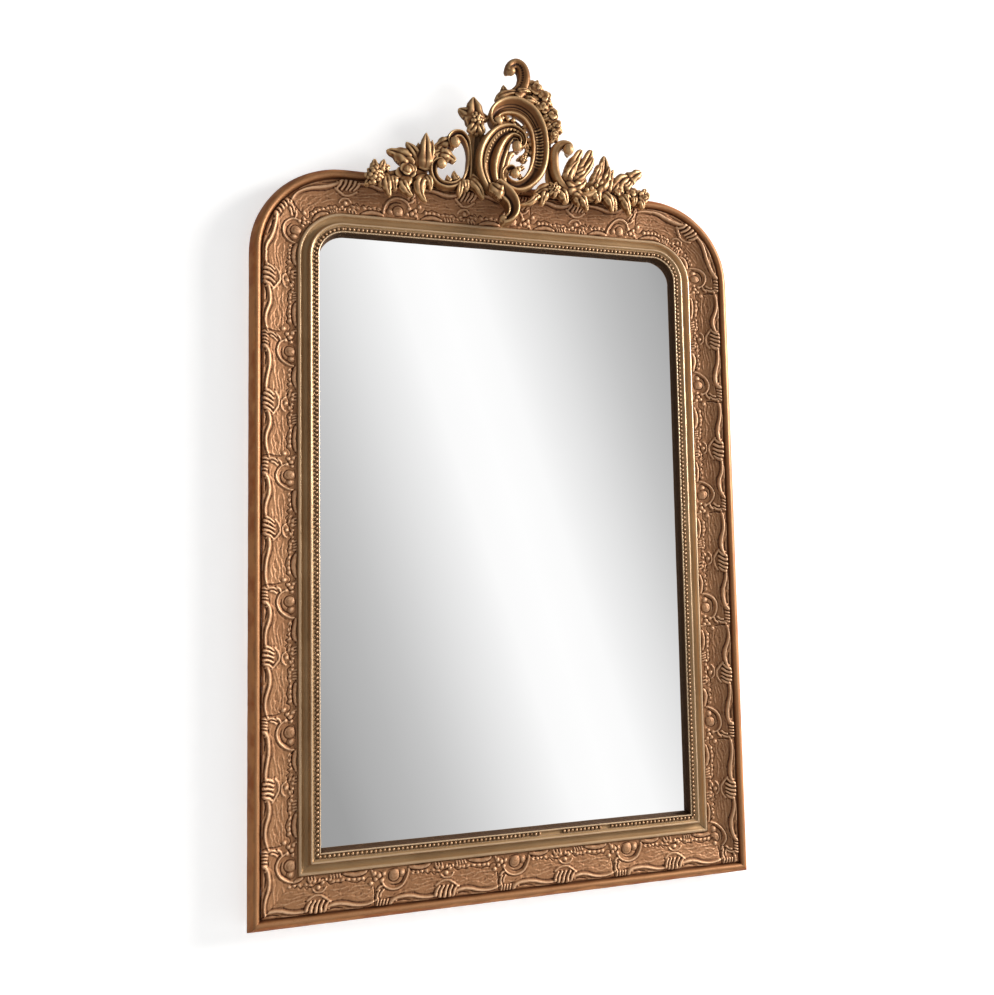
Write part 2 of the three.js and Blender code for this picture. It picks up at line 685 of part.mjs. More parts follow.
function addBack() {
  add('mirror_glass', glass(), MIRROR);
  for (let i = 0; i < BOARDS; i += 1) add(`back_board_${i + 1}`, backBoard(i), SOFTWOOD);
}

function addHangers() {
  for (const side of [-1, 1]) {
    const hand = side < 0 ? 'left' : 'right';
    add(`${hand}_hanger_plate`, hangerPlate(side), IRON);
    add(`${hand}_hanger_ring`, ring(side), IRON);
  }
  for (const one of SCREWS) add(one.name, screw(one), IRON);
}

function addCrest() {
  add('crest_bracket', crestBracket(), SOFTWOOD);
  for (const x of STRAP_X) add(`${x < 0 ? 'left' : 'right'}_crest_strap`, crestStrap(x), IRON);
  for (const [name, shape] of Object.entries(crestPieces())) add(name, geometryOf(shape), CREST_GILT);
}

addFrame();
addBack();
addHangers();
addCrest();

const group = new THREE.Group();
group.add(mirror);

export default group;
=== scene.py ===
# %% [markdown]
# # A gilded trumeau mirror
# A trumeau mirror is a tall plate of silvered glass in a frame of softwood. On the wood lie
# long mouldings of composition, a putty of chalk and glue that is pressed in boxwood moulds,
# gilded, and toned brown in its hollows. At the top stands a pierced crest of scrolls.
# This lesson dresses the construction model in its fine surface, one layer at a time.

# %% Load the construction model
import math

import bpy
import numpy as np
from mathutils import Matrix, Vector


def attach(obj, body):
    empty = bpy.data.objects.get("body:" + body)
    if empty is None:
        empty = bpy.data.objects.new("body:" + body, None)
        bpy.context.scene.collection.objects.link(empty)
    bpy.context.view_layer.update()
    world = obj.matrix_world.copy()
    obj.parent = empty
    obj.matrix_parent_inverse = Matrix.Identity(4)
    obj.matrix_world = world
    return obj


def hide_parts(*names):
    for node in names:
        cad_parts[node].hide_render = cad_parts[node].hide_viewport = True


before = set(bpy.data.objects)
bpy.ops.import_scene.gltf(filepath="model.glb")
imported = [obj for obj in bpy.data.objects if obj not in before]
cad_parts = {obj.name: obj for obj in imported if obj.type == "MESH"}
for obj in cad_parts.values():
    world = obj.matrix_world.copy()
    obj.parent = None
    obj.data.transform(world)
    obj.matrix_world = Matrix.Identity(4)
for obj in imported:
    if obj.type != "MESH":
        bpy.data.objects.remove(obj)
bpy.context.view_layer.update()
print("construction nodes:", len(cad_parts))

# %% [markdown]
# ## Sizes
# The mirror is described in millimetres, as on a bench drawing. x runs to the right and z up,
# both from the centre of the glass, and a height is how far something stands out from the wall.
# The model's own origin is 615 mm above the centre of the glass, on the back of the frame.

# %% Driving sizes
MM = 0.001
ORIGIN_Z = 615
HALF_WIDTH = 365
HALF_HEIGHT = 570
SIGHT_RADIUS = 48
CORNER_X = HALF_WIDTH - SIGHT_RADIUS
CORNER_Z = HALF_HEIGHT - SIGHT_RADIUS
BORDER = 127
CORE_FRONT = 18.3
BAND_INNER = 41.4
BAND_OUTER = 102.9
CREST_BACK = 40.3
RUNS = ["left_stile", "right_stile", "bottom_rail", "top_rail", "top_left_corner", "top_right_corner"]


def spots(x, z, height):
    """Places given in millimetres, as Blender's metres."""
    x, z, height = np.broadcast_arrays(x, z, height)
    return np.stack([x, -height, z - ORIGIN_Z], -1) * MM


# %% [markdown]
# ## Small helpers
# Blender's operators act on whatever is selected, so every piece starts from an empty selection.
# A primitive gives the first mesh. Its points are then moved in one go: numpy reads them as a
# table, changes the table and writes it back, which is quick even for a hundred thousand points.

# %% Helpers for meshes
def deselect():
    if bpy.context.object and bpy.context.object.mode != "OBJECT":
        bpy.ops.object.mode_set(mode="OBJECT")
    bpy.ops.object.select_all(action="DESELECT")


def named(name):
    """Gives the newest primitive its name and clears its place, which goes into the mesh."""
    piece = bpy.context.object
    piece.name = name
    piece.data.name = name
    bpy.ops.object.transform_apply(location=True, rotation=True, scale=True)
    return piece


def points_of(piece):
    table = np.empty(len(piece.data.vertices) * 3)
    piece.data.vertices.foreach_get("co", table)
    return table.reshape(-1, 3)


def move_points(piece, table):
    piece.data.vertices.foreach_set("co", np.ascontiguousarray(table).ravel())
    piece.data.update()


def alone(piece):
    deselect()
    piece.select_set(True)
    bpy.context.view_layer.objects.active = piece


def edit(piece, elements="VERT"):
    alone(piece)
    bpy.ops.object.mode_set(mode="EDIT")
    bpy.ops.mesh.select_mode(type=elements)
    bpy.ops.mesh.select_all(action="DESELECT")


def object_mode():
    bpy.ops.object.mode_set(mode="OBJECT")


def select_where(piece, kind, chosen):
    """Selects the faces, edges or vertices that a row of True and False values names."""
    object_mode()
    getattr(piece.data, kind).foreach_set("select", np.asarray(chosen, dtype=bool))
    bpy.ops.object.mode_set(mode="EDIT")


def outward(piece):
    edit(piece)
    bpy.ops.mesh.select_all(action="SELECT")
    bpy.ops.mesh.remove_doubles(threshold=0.00001)
    bpy.ops.mesh.normals_make_consistent(inside=False)
    object_mode()


def smooth(piece, degrees=60):
    alone(piece)
    bpy.ops.object.shade_smooth_by_angle(angle=math.radians(degrees))


def apply_all(piece):
    alone(piece)
    for modifier in list(piece.modifiers):
        bpy.ops.object.modifier_apply(modifier=modifier.name)


def join(name, parts):
    """Several pieces made into one."""
    deselect()
    for part in parts:
        part.select_set(True)
    bpy.context.view_layer.objects.active = parts[0]
    if len(parts) > 1:
        bpy.ops.object.join()
    return named(name)


def finished(piece, body, slot_name, material, *nodes):
    """Dresses a piece and puts it on the body that carries it."""
    piece.data.materials.clear()
    piece.data.materials.append(material)
    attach(piece, body)
    if nodes:
        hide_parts(*nodes)
    return piece


# %% [markdown]
# ## Reading the hollows of a surface
# Old gilding is rubbed bright where cloths and hands reach it, and dark where dust and toning
# wax have settled. The same measure paints light and shade as well: a painted highlight on
# ridges and painted shade in hollows. Both follow the shape. Each point is compared with the
# average of its neighbours: where the neighbours stand higher, the point lies in a hollow. The
# answer, in millimetres, is stored on the points under the name "hollow", and every gilt finish
# reads it.

# %% Measure hollows
def mark_hollows(piece, rounds=8):
    mesh = piece.data
    here = points_of(piece)
    pairs = np.empty(len(mesh.edges) * 2, dtype=np.int64)
    mesh.edges.foreach_get("vertices", pairs)
    one, other = pairs[0::2], pairs[1::2]
    count = np.bincount(pairs, minlength=len(here)).clip(1)
    normals = np.empty(len(here) * 3)
    mesh.vertices.foreach_get("normal", normals)
    normals = normals.reshape(-1, 3)
    average = here.copy()
    for _ in range(rounds):
        total = [
            np.bincount(one, average[other, i], len(here)) + np.bincount(other, average[one, i], len(here))
            for i in range(3)
        ]
        average = np.stack(total, -1) / count[:, None]
    hollow = ((average - here) * normals).sum(-1) / MM
    store(piece, "hollow", hollow)
    return hollow


def store(piece, name, values):
    attribute = piece.data.attributes.get(name)
    if attribute is None:
        attribute = piece.data.attributes.new(name, "FLOAT", "POINT")
    attribute.data.foreach_set("value", np.asarray(values, dtype=np.float32))


# %% [markdown]
# ## Smooth paths
# Scrolls and relief lines are drawn as a carver marks them out: a few points are given, with a
# smooth line led through them. This is the centripetal Catmull-Rom curve, which makes no loops
# of its own between points that lie close together.

# %% Lead a smooth line through points
def smooth_path(points, step):
    points = np.asarray(points, dtype=float)
    first = 2 * points[0] - points[1]
    last = 2 * points[-1] - points[-2]
    padded = np.vstack([first, points, last])
    line = []
    for a, b, c, d in zip(padded, padded[1:], padded[2:], padded[3:]):
        knots = np.cumsum([0, *(np.sqrt(np.linalg.norm((q - p)[:2])) + 1e-6 for p, q in ((a, b), (b, c), (c, d)))])
        t0, t1, t2, t3 = knots
        count = max(2, int(np.linalg.norm((c - b)[:2]) / step))
        for t in np.linspace(t1, t2, count, endpoint=False):
            ab = a + (b - a) * (t - t0) / (t1 - t0)
            bc = b + (c - b) * (t - t1) / (t2 - t1)
            cd = c + (d - c) * (t - t2) / (t3 - t2)
            abc = ab + (bc - ab) * (t - t0) / (t2 - t0)
            bcd = bc + (cd - bc) * (t - t1) / (t3 - t1)
            line.append(abc + (bcd - abc) * (t - t1) / (t2 - t1))
    line.append(points[-1])
    return np.array(line)


def along_path(line):
    """How far each point of a line lies from its start."""
    steps = np.linalg.norm(np.diff(line[:, :2], axis=0), axis=1)
    return np.concatenate([[0], np.cumsum(steps)])


def between(value, low, high):
    """0 below low, 1 above high, and a smooth change from one to the other."""
    share = np.clip((np.asarray(value, dtype=float) - low) / (high - low), 0, 1)
    return share * share * (3 - 2 * share)

# %% [markdown]
# ## Camera
# The photograph was taken from the left of the mirror and a little below its middle, with the
# phone held level. The place and the lens come from the mirror's own corners: a rectangle that
# is 984 by 1394 mm can look like that from one spot only.

# %% Camera
camera = bpy.data.objects.new("camera", bpy.data.cameras.new("camera"))
bpy.context.scene.collection.objects.link(camera)
bpy.context.scene.camera = camera
camera.data.sensor_width = 36
camera.data.lens = 862.8 * 36 / 995
look_right = Vector((0.96414, -0.26482, -0.01746))
look_up = Vector((-0.00208, -0.07331, 0.99731))
look_back = look_right.cross(look_up)
look = Matrix((look_right, look_up, look_back)).transposed().to_4x4()
look.translation = (-0.47191, -1.64270, -0.66701)
camera.matrix_world = look
print("camera at", [round(c, 3) for c in look.translation])

# %% [markdown]
# ## Node helpers
# A material is a small network. Two helpers keep the cells short: one adds a node with its
# settings, the other joins an output to an input.

# %% Node helpers
def add_node(tree, kind, settings=None, **inputs):
    node = tree.nodes.new(kind)
    for name, value in (settings or {}).items():
        setattr(node, name, value)
    for name, value in inputs.items():
        socket = node.inputs[int(name[1:])] if name[0] == "i" and name[1:].isdigit() else node.inputs[name]
        if isinstance(value, bpy.types.NodeSocket):
            tree.links.new(value, socket)
        else:
            socket.default_value = value
    return node


def linear(red, green, blue):
    """A colour as it is seen on a screen, 0 to 255, as the linear values that shaders use."""
    shares = [c / 255 for c in (red, green, blue)]
    return [*(c / 12.92 if c <= 0.04045 else ((c + 0.055) / 1.055) ** 2.4 for c in shares), 1.0]


def new_group(name, inputs, outputs):
    """A node group with named sockets, and its two ends."""
    tree = bpy.data.node_groups.new(name, "ShaderNodeTree")
    for label, kind, value in inputs:
        socket = tree.interface.new_socket(label, in_out="INPUT", socket_type=kind)
        if value is not None:
            socket.default_value = value
    for label, kind in outputs:
        tree.interface.new_socket(label, in_out="OUTPUT", socket_type=kind)
    return tree, tree.nodes.new("NodeGroupInput"), tree.nodes.new("NodeGroupOutput")


def mix_colours(tree, share, one, other, blend="MIX"):
    node = tree.nodes.new("ShaderNodeMix")
    node.data_type = "RGBA"
    node.blend_type = blend
    for socket, value in zip((node.inputs[0], node.inputs[6], node.inputs[7]), (share, one, other)):
        if isinstance(value, bpy.types.NodeSocket):
            tree.links.new(value, socket)
        else:
            socket.default_value = value
    return node.outputs[2]


def remap(tree, value, low, high, to_low=0.0, to_high=1.0):
    node = add_node(tree, "ShaderNodeMapRange", i0=value, i1=low, i2=high, i3=to_low, i4=to_high)
    node.interpolation_type = "SMOOTHSTEP"
    return node.outputs[0]


def arithmetic(tree, operation, one, other=0.0, third=0.0):
    return add_node(tree, "ShaderNodeMath", {"operation": operation}, i0=one, i1=other, i2=third).outputs[0]


def noise(tree, place, scale, detail=4.0, rough=0.55, distort=0.0):
    node = add_node(tree, "ShaderNodeTexNoise", Vector=place, Scale=scale, Detail=detail, Roughness=rough)
    node.inputs["Distortion"].default_value = distort
    return node.outputs[0]


def new_material(name):
    material = bpy.data.materials.new(name)
    material.use_nodes = True
    tree = material.node_tree
    return material, tree, tree.nodes["Principled BSDF"]


# %% [markdown]
# ## Worn gilding and painted shade
# The gilding is leaf metal and bronze powder over a red clay called bole. On ridges the metal
# is rubbed thin and shines pale, and this pale colour is also a painted highlight. In hollows
# brown toning has gathered, and this dark colour is also painted shade. In between its tone
# drifts a little from hand to hand, and specks of bole come through. One group mixes these
# from the stored hollows and from noise, and each gilt part of the mirror has its own colours.

# %% The gilding group
def build_gilding():
    tree, start, end = new_group(
        "worn gilding and painted shade",
        [
            ("Bright", "NodeSocketColor", linear(226, 190, 150)),
            ("Gilt", "NodeSocketColor", linear(180, 140, 100)),
            ("Toning and shade", "NodeSocketColor", linear(80, 50, 25)),
            ("Bole", "NodeSocketColor", linear(120, 60, 35)),
            ("Ridge depth", "NodeSocketFloat", -0.25),
            ("Hollow depth", "NodeSocketFloat", 0.25),
            ("Bole share", "NodeSocketFloat", 0.2),
            ("Shine", "NodeSocketFloat", 0.38),
        ],
        [("Color", "NodeSocketColor"), ("Roughness", "NodeSocketFloat"), ("Height", "NodeSocketFloat")],
    )
    place = add_node(tree, "ShaderNodeTexCoord").outputs["Object"]
    hollow = add_node(tree, "ShaderNodeAttribute", {"attribute_name": "hollow"}).outputs["Fac"]
    grime = noise(tree, place, 55, 6, 0.6)
    fine = noise(tree, place, 420, 5, 0.6)
    broad = noise(tree, place, 9, 3, 0.5)
    shift = arithmetic(tree, "MULTIPLY", arithmetic(tree, "SUBTRACT", grime, 0.5), 0.35)
    level = arithmetic(tree, "ADD", hollow, shift)
    # Ridges get rubbed metal and a painted highlight; hollows get toning and painted shade.
    ridge = remap(tree, level, 0.0, start.outputs["Ridge depth"])
    dark = remap(tree, level, 0.06, start.outputs["Hollow depth"])
    drift = remap(tree, broad, 0.35, 0.65, 0.0, 0.35)
    base = mix_colours(tree, drift, start.outputs["Gilt"], start.outputs["Bole"])
    base = mix_colours(tree, ridge, base, start.outputs["Bright"])
    specks = arithmetic(tree, "MULTIPLY", remap(tree, fine, 0.56, 0.66), start.outputs["Bole share"])
    base = mix_colours(tree, specks, base, start.outputs["Bole"])
    base = mix_colours(tree, dark, base, start.outputs["Toning and shade"])
    rough = arithmetic(tree, "MULTIPLY_ADD", dark, 0.3, start.outputs["Shine"])
    rough = arithmetic(tree, "MULTIPLY_ADD", grime, 0.16, rough)
    height = arithmetic(tree, "MULTIPLY_ADD", fine, 0.35, arithmetic(tree, "MULTIPLY", grime, 0.65))
    tree.links.new(base, end.inputs["Color"])
    tree.links.new(rough, end.inputs["Roughness"])
    tree.links.new(height, end.inputs["Height"])
    return tree


GILDING = build_gilding()


def gilt(name, bright, metal, toning_and_shade, bole, metallic=0.62, bump=0.0005, **settings):
    material, tree, shader = new_material(name)
    group = add_node(tree, "ShaderNodeGroup", {"node_tree": GILDING})
    colours = {"Bright": bright, "Gilt": metal, "Toning and shade": toning_and_shade, "Bole": bole}
    for label, colour in colours.items():
        group.inputs[label].default_value = linear(*colour)
    for label, value in settings.items():
        group.inputs[label.replace("_", " ")].default_value = value
    tree.links.new(group.outputs["Color"], shader.inputs["Base Color"])
    tree.links.new(group.outputs["Roughness"], shader.inputs["Roughness"])
    shader.inputs["Metallic"].default_value = metallic
    relief_bump = add_node(tree, "ShaderNodeBump", Strength=1.0, Distance=bump, Height=group.outputs["Height"])
    tree.links.new(relief_bump.outputs[0], shader.inputs["Normal"])
    return material, tree, shader, group


BAND_GILT = gilt(
    "band gilding", (228, 184, 144), (174, 125, 85), (78, 42, 18), (140, 88, 52),
    Ridge_depth=-0.9, Hollow_depth=0.85, Bole_share=0.4, Shine=0.46, metallic=0.42, bump=0.0007,
)[0]
COVE_GILT = gilt(
    "cove gilding", (240, 208, 170), (196, 158, 114), (84, 54, 24), (154, 112, 68),
    Ridge_depth=-1.3, Hollow_depth=1.6, Bole_share=0.2, Shine=0.3, metallic=0.55,
)[0]
PEARL_GILT = gilt(
    "pearl gilding", (222, 184, 146), (164, 124, 86), (74, 44, 18), (118, 78, 46),
    Ridge_depth=-0.4, Hollow_depth=0.8, Bole_share=0.25, Shine=0.36, metallic=0.5,
)[0]
CREST_GILT = gilt(
    "crest gilding", (232, 190, 138), (150, 104, 62), (52, 24, 8), (106, 58, 26),
    Ridge_depth=-0.55, Hollow_depth=0.46, Bole_share=0.35, Shine=0.36, metallic=0.52, bump=0.0008,
)[0]
print("gilt finishes:", [m.name for m in (BAND_GILT, COVE_GILT, PEARL_GILT, CREST_GILT)])

# %% [markdown]
# ## The outer moulding's red flank
# The outer moulding is gilded on its round top. Down its flank, where few eyes reach, the
# gilder left the red bole showing under a thin wash. The mesh stores how far out each point
# lies, and the finish changes from one to the other by that measure.

# %% Outer moulding finish
def build_bead_finish():
    material, tree, shader, group = gilt(
        "bead gilding", (208, 156, 110), (176, 122, 78), (88, 46, 18), (140, 78, 38),
        Ridge_depth=-1.2, Hollow_depth=0.9, Bole_share=0.4, Shine=0.42, metallic=0.45,
    )
    place = add_node(tree, "ShaderNodeTexCoord").outputs["Object"]
    outwards = add_node(tree, "ShaderNodeAttribute", {"attribute_name": "outwards"}).outputs["Fac"]
    patches = noise(tree, place, 30, 5, 0.6)
    level = arithmetic(tree, "MULTIPLY_ADD", arithmetic(tree, "SUBTRACT", patches, 0.5), 10, outwards)
    flank = remap(tree, level, 112.5, 117.5)
    bole = mix_colours(tree, remap(tree, noise(tree, place, 22, 5), 0.36, 0.62), linear(176, 98, 42), linear(204, 134, 76))
    colour = mix_colours(tree, flank, group.outputs["Color"], bole)
    # Painted shade: the bead's inner foot, dropping into the groove beside the band, is darkened.
    quirk_shade = remap(tree, outwards, 107.0, 104.2)
    colour = mix_colours(tree, quirk_shade, colour, linear(92, 52, 24))
    tree.links.new(colour, shader.inputs["Base Color"])
    tree.links.new(remap(tree, flank, 0, 1, 0.5, 0.08), shader.inputs["Metallic"])
    return material


BEAD_GILT = build_bead_finish()

# %% [markdown]
# ## Softwood, iron and silvered glass
# Behind the gilding is pine, planed but not polished: long grain, darker late wood, a grey-brown
# skin of age. The iron of plates, straps, screws and rings is dark with a film of rust. The
# glass is a true mirror, its silver clouded very faintly all over the plate.

# %% Wood, iron and glass
def build_softwood(name, grain, light, dark):
    """Planed wood whose grain runs along X or along Z."""
    material, tree, shader = new_material(name)
    place = add_node(tree, "ShaderNodeTexCoord").outputs["Object"]
    wide, fine, across = {"X": ((5, 60, 90), (12, 700, 700), "Z"), "Z": ((90, 60, 5), (700, 700, 12), "X")}[grain]
    stretched = add_node(tree, "ShaderNodeMapping", i0=place, i3=wide).outputs[0]
    rings = add_node(tree, "ShaderNodeTexWave", {"bands_direction": across}, i0=stretched, i1=0.55, i2=7.0, i3=3.0)
    rings.inputs["Detail Scale"].default_value = 1.2
    fibre = noise(tree, add_node(tree, "ShaderNodeMapping", i0=place, i3=fine).outputs[0], 1.0, 5)
    blotch = noise(tree, place, 5, 4)
    base = mix_colours(tree, rings.outputs["Fac"], linear(*light), linear(*dark))
    base = mix_colours(tree, remap(tree, fibre, 0.35, 0.7, 0, 0.45), base, linear(92, 66, 42))
    base = mix_colours(tree, remap(tree, blotch, 0.45, 0.75, 0, 0.6), base, linear(84, 66, 50))
    tree.links.new(base, shader.inputs["Base Color"])
    rough = remap(tree, fibre, 0.2, 0.8, 0.62, 0.85)
    tree.links.new(rough, shader.inputs["Roughness"])
    lift = add_node(tree, "ShaderNodeBump", Strength=0.8, Distance=0.0004, Height=fibre)
    tree.links.new(lift.outputs[0], shader.inputs["Normal"])
    return material


def build_iron():
    material, tree, shader = new_material("dark iron")
    place = add_node(tree, "ShaderNodeTexCoord").outputs["Object"]
    patches = noise(tree, place, 90, 6, 0.65)
    rust = remap(tree, patches, 0.5, 0.68)
    base = mix_colours(tree, rust, linear(72, 66, 60), linear(104, 62, 38))
    tree.links.new(base, shader.inputs["Base Color"])
    tree.links.new(remap(tree, patches, 0.4, 0.7, 0.42, 0.85), shader.inputs["Roughness"])
    tree.links.new(arithmetic(tree, "SUBTRACT", 0.9, rust), shader.inputs["Metallic"])
    pits = add_node(tree, "ShaderNodeBump", Strength=0.7, Distance=0.0003, Height=patches)
    tree.links.new(pits.outputs[0], shader.inputs["Normal"])
    return material


def build_mirror():
    material, tree, shader = new_material("silvered glass")
    place = add_node(tree, "ShaderNodeTexCoord").outputs["Object"]
    cloud = noise(tree, place, 6, 5)
    base = mix_colours(tree, cloud, linear(253, 253, 253), linear(255, 255, 255))
    tree.links.new(base, shader.inputs["Base Color"])
    shader.inputs["Roughness"].default_value = 0.0
    shader.inputs["Metallic"].default_value = 1.0
    return material


SOFTWOOD = build_softwood("aged softwood", "X", (158, 124, 84), (116, 82, 50))
STILE_WOOD = build_softwood("stile softwood", "Z", (154, 120, 82), (112, 80, 50))
BOARD_WOOD = build_softwood("board softwood", "X", (178, 150, 112), (142, 112, 78))
IRON = build_iron()
MIRROR = build_mirror()


def paint(material, *nodes):
    """Gives construction nodes a finish and leaves their shape alone."""
    for node in nodes:
        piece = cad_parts[node]
        piece.data.materials.clear()
        piece.data.materials.append(material)


paint(MIRROR, "mirror_glass")
print("painted: mirror_glass")

# %% [markdown]
# ## Plain mouldings
# Three plain mouldings run round the frame: the strip that carries the pearls, a deep cove, and
# the outer bead with its flank. Each is one outline that travels along the frame. The outline
# starts as a circle primitive whose points are laid on the section. Extrude draws it along a
# straight side, and Spin turns it through a quarter round a top corner. The long faces are then
# subdivided, because a length of old moulding is never quite even and needs points to show it.

# %% Sections of the plain mouldings
def rounded(points, step=0.9):
    """Points of [outwards, height] with a smooth line led through them."""
    return smooth_path(points, step)


SIGHT_SECTION = np.vstack([
    [[0.0, CORE_FRONT], [10.7, CORE_FRONT], [10.7, 32.9]],
    rounded([[10.4, 33.4], [9.6, 32.4], [8.2, 31.0], [6.0, 30.4], [4.2, 30.9], [3.0, 32.2], [2.4, 33.4],
             [1.4, 33.9], [0.4, 33.6], [0.0, 32.8]]),
    [[0.0, 31.6]],
])
COVE_SECTION = np.vstack([
    [[10.9, CORE_FRONT], [41.2, CORE_FRONT]],
    rounded([[41.2, 21.6], [40.3, 21.8], [39.5, 23.2], [38.9, 25.6], [37.6, 27.6], [35.8, 28.3], [33.9, 27.9],
             [32.4, 26.7]], 0.6),
    rounded([[31.6, 25.6], [29.6, 24.2], [27.4, 23.3], [25.0, 22.9], [22.8, 23.3], [21.0, 24.8], [19.6, 27.2],
             [18.5, 30.2], [17.7, 33.0]], 1.0),
    rounded([[17.5, 33.9], [16.9, 35.2], [15.6, 35.7], [14.2, 35.2], [12.8, 33.6], [11.8, 32.8], [11.0, 32.7]], 0.6),
])
BEAD_SECTION = np.vstack([
    [[103.0, 0.0], [BORDER, 0.0], [BORDER, 9.0], [BORDER, 19.0]],
    rounded([[126.8, 20.8], [125.9, 23.4], [123.8, 27.9], [121.2, 32.4], [118.6, 36.3], [116.0, 38.7],
             [113.4, 40.1], [111.0, 40.5], [108.8, 39.9], [107.0, 38.2], [105.8, 35.4], [104.9, 32.6],
             [103.0, 31.6]], 1.0),
])
LAYERS = {
    "sight_strip": (SIGHT_SECTION, COVE_GILT, "cove_gilt"),
    "cove_moulding": (COVE_SECTION, COVE_GILT, "cove_gilt"),
    "outer_moulding": (BEAD_SECTION, BEAD_GILT, "bead_gilt"),
}


# %% Lay a section out and draw it along the frame
def outwards_of(run, table):
    """How far each point lies outside the edge of the visible glass, in millimetres."""
    x = table[:, 0] / MM
    z = table[:, 2] / MM + ORIGIN_Z
    if run.endswith("stile"):
        return np.abs(x) - HALF_WIDTH
    if run.endswith("rail"):
        return np.abs(z) - HALF_HEIGHT
    return np.hypot(np.abs(x) - CORNER_X, z - CORNER_Z) - SIGHT_RADIUS


def start_section(run, section, name):
    """The section's face, where this run of the frame begins."""
    deselect()
    bpy.ops.mesh.primitive_circle_add(vertices=len(section), fill_type="NGON")
    piece = named(name)
    out, height = section[:, 0], section[:, 1]
    side = -1 if "left" in run else 1
    if run.endswith("stile"):
        table = spots(side * (HALF_WIDTH + out), CORNER_Z, height)
    elif run.endswith("rail"):
        level = -HALF_HEIGHT - out if run == "bottom_rail" else HALF_HEIGHT + out
        table = spots(-CORNER_X if run == "top_rail" else -HALF_WIDTH - BORDER, level, height)
    else:
        table = spots(side * (CORNER_X + SIGHT_RADIUS + out), CORNER_Z, height)
    move_points(piece, table)
    return piece


def draw_along(piece, run):
    edit(piece, "FACE")
    bpy.ops.mesh.select_all(action="SELECT")
    if run.endswith("corner"):
        side = -1 if "left" in run else 1
        centre = Vector(spots(side * CORNER_X, CORNER_Z, 0.0))
        bpy.ops.mesh.spin(steps=30, angle=math.radians(90), center=centre, axis=(0, side, 0))
    else:
        reach = {"top_rail": (2 * CORNER_X, 0), "bottom_rail": (2 * (HALF_WIDTH + BORDER), 0)}
        x, z = reach.get(run, (0, -(CORNER_Z + HALF_HEIGHT + BORDER)))
        move = {"value": (x * MM, 0, z * MM)}
        bpy.ops.mesh.extrude_region_move(TRANSFORM_OT_translate=move)
    object_mode()


def cut_mitres(piece, run):
    """Saws the lower corners at 45 degrees."""
    sides = {"left_stile": [-1], "right_stile": [1], "bottom_rail": [-1, 1]}.get(run, [])
    for side in sides:
        edit(piece, "FACE")
        bpy.ops.mesh.select_all(action="SELECT")
        corner = spots(side * HALF_WIDTH, -HALF_HEIGHT, 0.0)
        slope = Vector((side, 0, 1)) if run != "bottom_rail" else Vector((-side, 0, -1))
        gap = slope.normalized() * MITRE_GAP * MM
        bpy.ops.mesh.bisect(
            plane_co=Vector(corner) + gap, plane_no=slope, use_fill=True, clear_inner=True, clear_outer=False
        )
        object_mode()


def subdivide_length(piece, spacing):
    """Cuts the long edges of a straight run into short ones, as many on each."""
    table = points_of(piece)
    ends = np.array([edge.vertices[:] for edge in piece.data.edges])
    reach = np.linalg.norm(table[ends[:, 0]] - table[ends[:, 1]], axis=1)
    edit(piece, "EDGE")
    select_where(piece, "edges", reach > 0.5)
    bpy.ops.mesh.subdivide(number_cuts=int(reach.max() / (spacing * MM)) - 1)
    object_mode()


RECESSES = ((-74, -16, 8.4), (-205, -187, 2.9), (194, 212, 2.9))


def let_in(piece):
    """Recesses in the back of the top moulding, where the crest's bracket and straps pass."""
    for left, right, depth in RECESSES:
        for x in (left - 0.8, left - 0.4, right + 0.4, right + 0.8):
            edit(piece, "FACE")
            bpy.ops.mesh.select_all(action="SELECT")
            bpy.ops.mesh.bisect(plane_co=(x * MM, 0, 0), plane_no=(1, 0, 0))
            object_mode()
        table = points_of(piece)
        x, height = table[:, 0] / MM, -table[:, 1] / MM
        table[(x > left - 0.5) & (x < right + 0.5) & (height < depth), 1] = -depth * MM
        move_points(piece, table)


MITRE_GAP = 0.25
LENGTH_STEP = 9.0


# %% Age the mouldings
def uneven(table, amount, wave, seed):
    """Shifts points by a smooth three-dimensional wobble, the same in every session."""
    chance = np.random.default_rng(seed)
    shift = np.zeros_like(table)
    for octave in range(4):
        for axis in range(3):
            direction = chance.normal(size=3)
            direction *= 2 * math.pi / (wave * MM * 0.5**octave) / np.linalg.norm(direction)
            shift[:, axis] += np.sin(table @ direction + chance.uniform(0, 6)) * 0.6**octave
    return table + shift * amount * MM * 0.5


def age_moulding(piece, seed):
    table = points_of(piece)
    moved = uneven(table, 0.22, 60, seed)
    moved[:, 1] = np.where(table[:, 1] > -0.001, table[:, 1], moved[:, 1])
    ends = np.abs(table[:, 1] + CORE_FRONT * MM) < 0.0002
    moved[ends] = table[ends]
    move_points(piece, moved)


def hollows_of(section):
    """Points along a section, 0.5 mm apart, and how deep each lies among its neighbours."""
    closed = np.vstack([section, section[:1]])
    reach = along_path(closed)
    even = np.arange(0, reach[-1], 0.5)
    line = np.stack([np.interp(even, reach, closed[:, i]) for i in range(2)], -1)
    blurry = line.copy()
    for _ in range(44):
        blurry = (np.roll(blurry, 1, 0) + 2 * blurry + np.roll(blurry, -1, 0)) / 4
    ahead, behind = np.roll(line, -1, 0), np.roll(line, 1, 0)
    normal = np.stack([ahead[:, 1] - behind[:, 1], behind[:, 0] - ahead[:, 0]], -1)
    normal /= np.maximum(np.linalg.norm(normal, axis=1), 1e-6)[:, None]
    turned = np.sign(np.sum(line[:, 0] * ahead[:, 1] - ahead[:, 0] * line[:, 1]))
    depth = turned * ((blurry - line) * normal).sum(-1)
    # Painted shade: the strip's face towards the glass always gets the full dark colour, as it lies in shade.
    depth = np.where((line[:, 0] < 0.4) & (line[:, 1] < 32.6), 1.5, depth)
    return line, depth


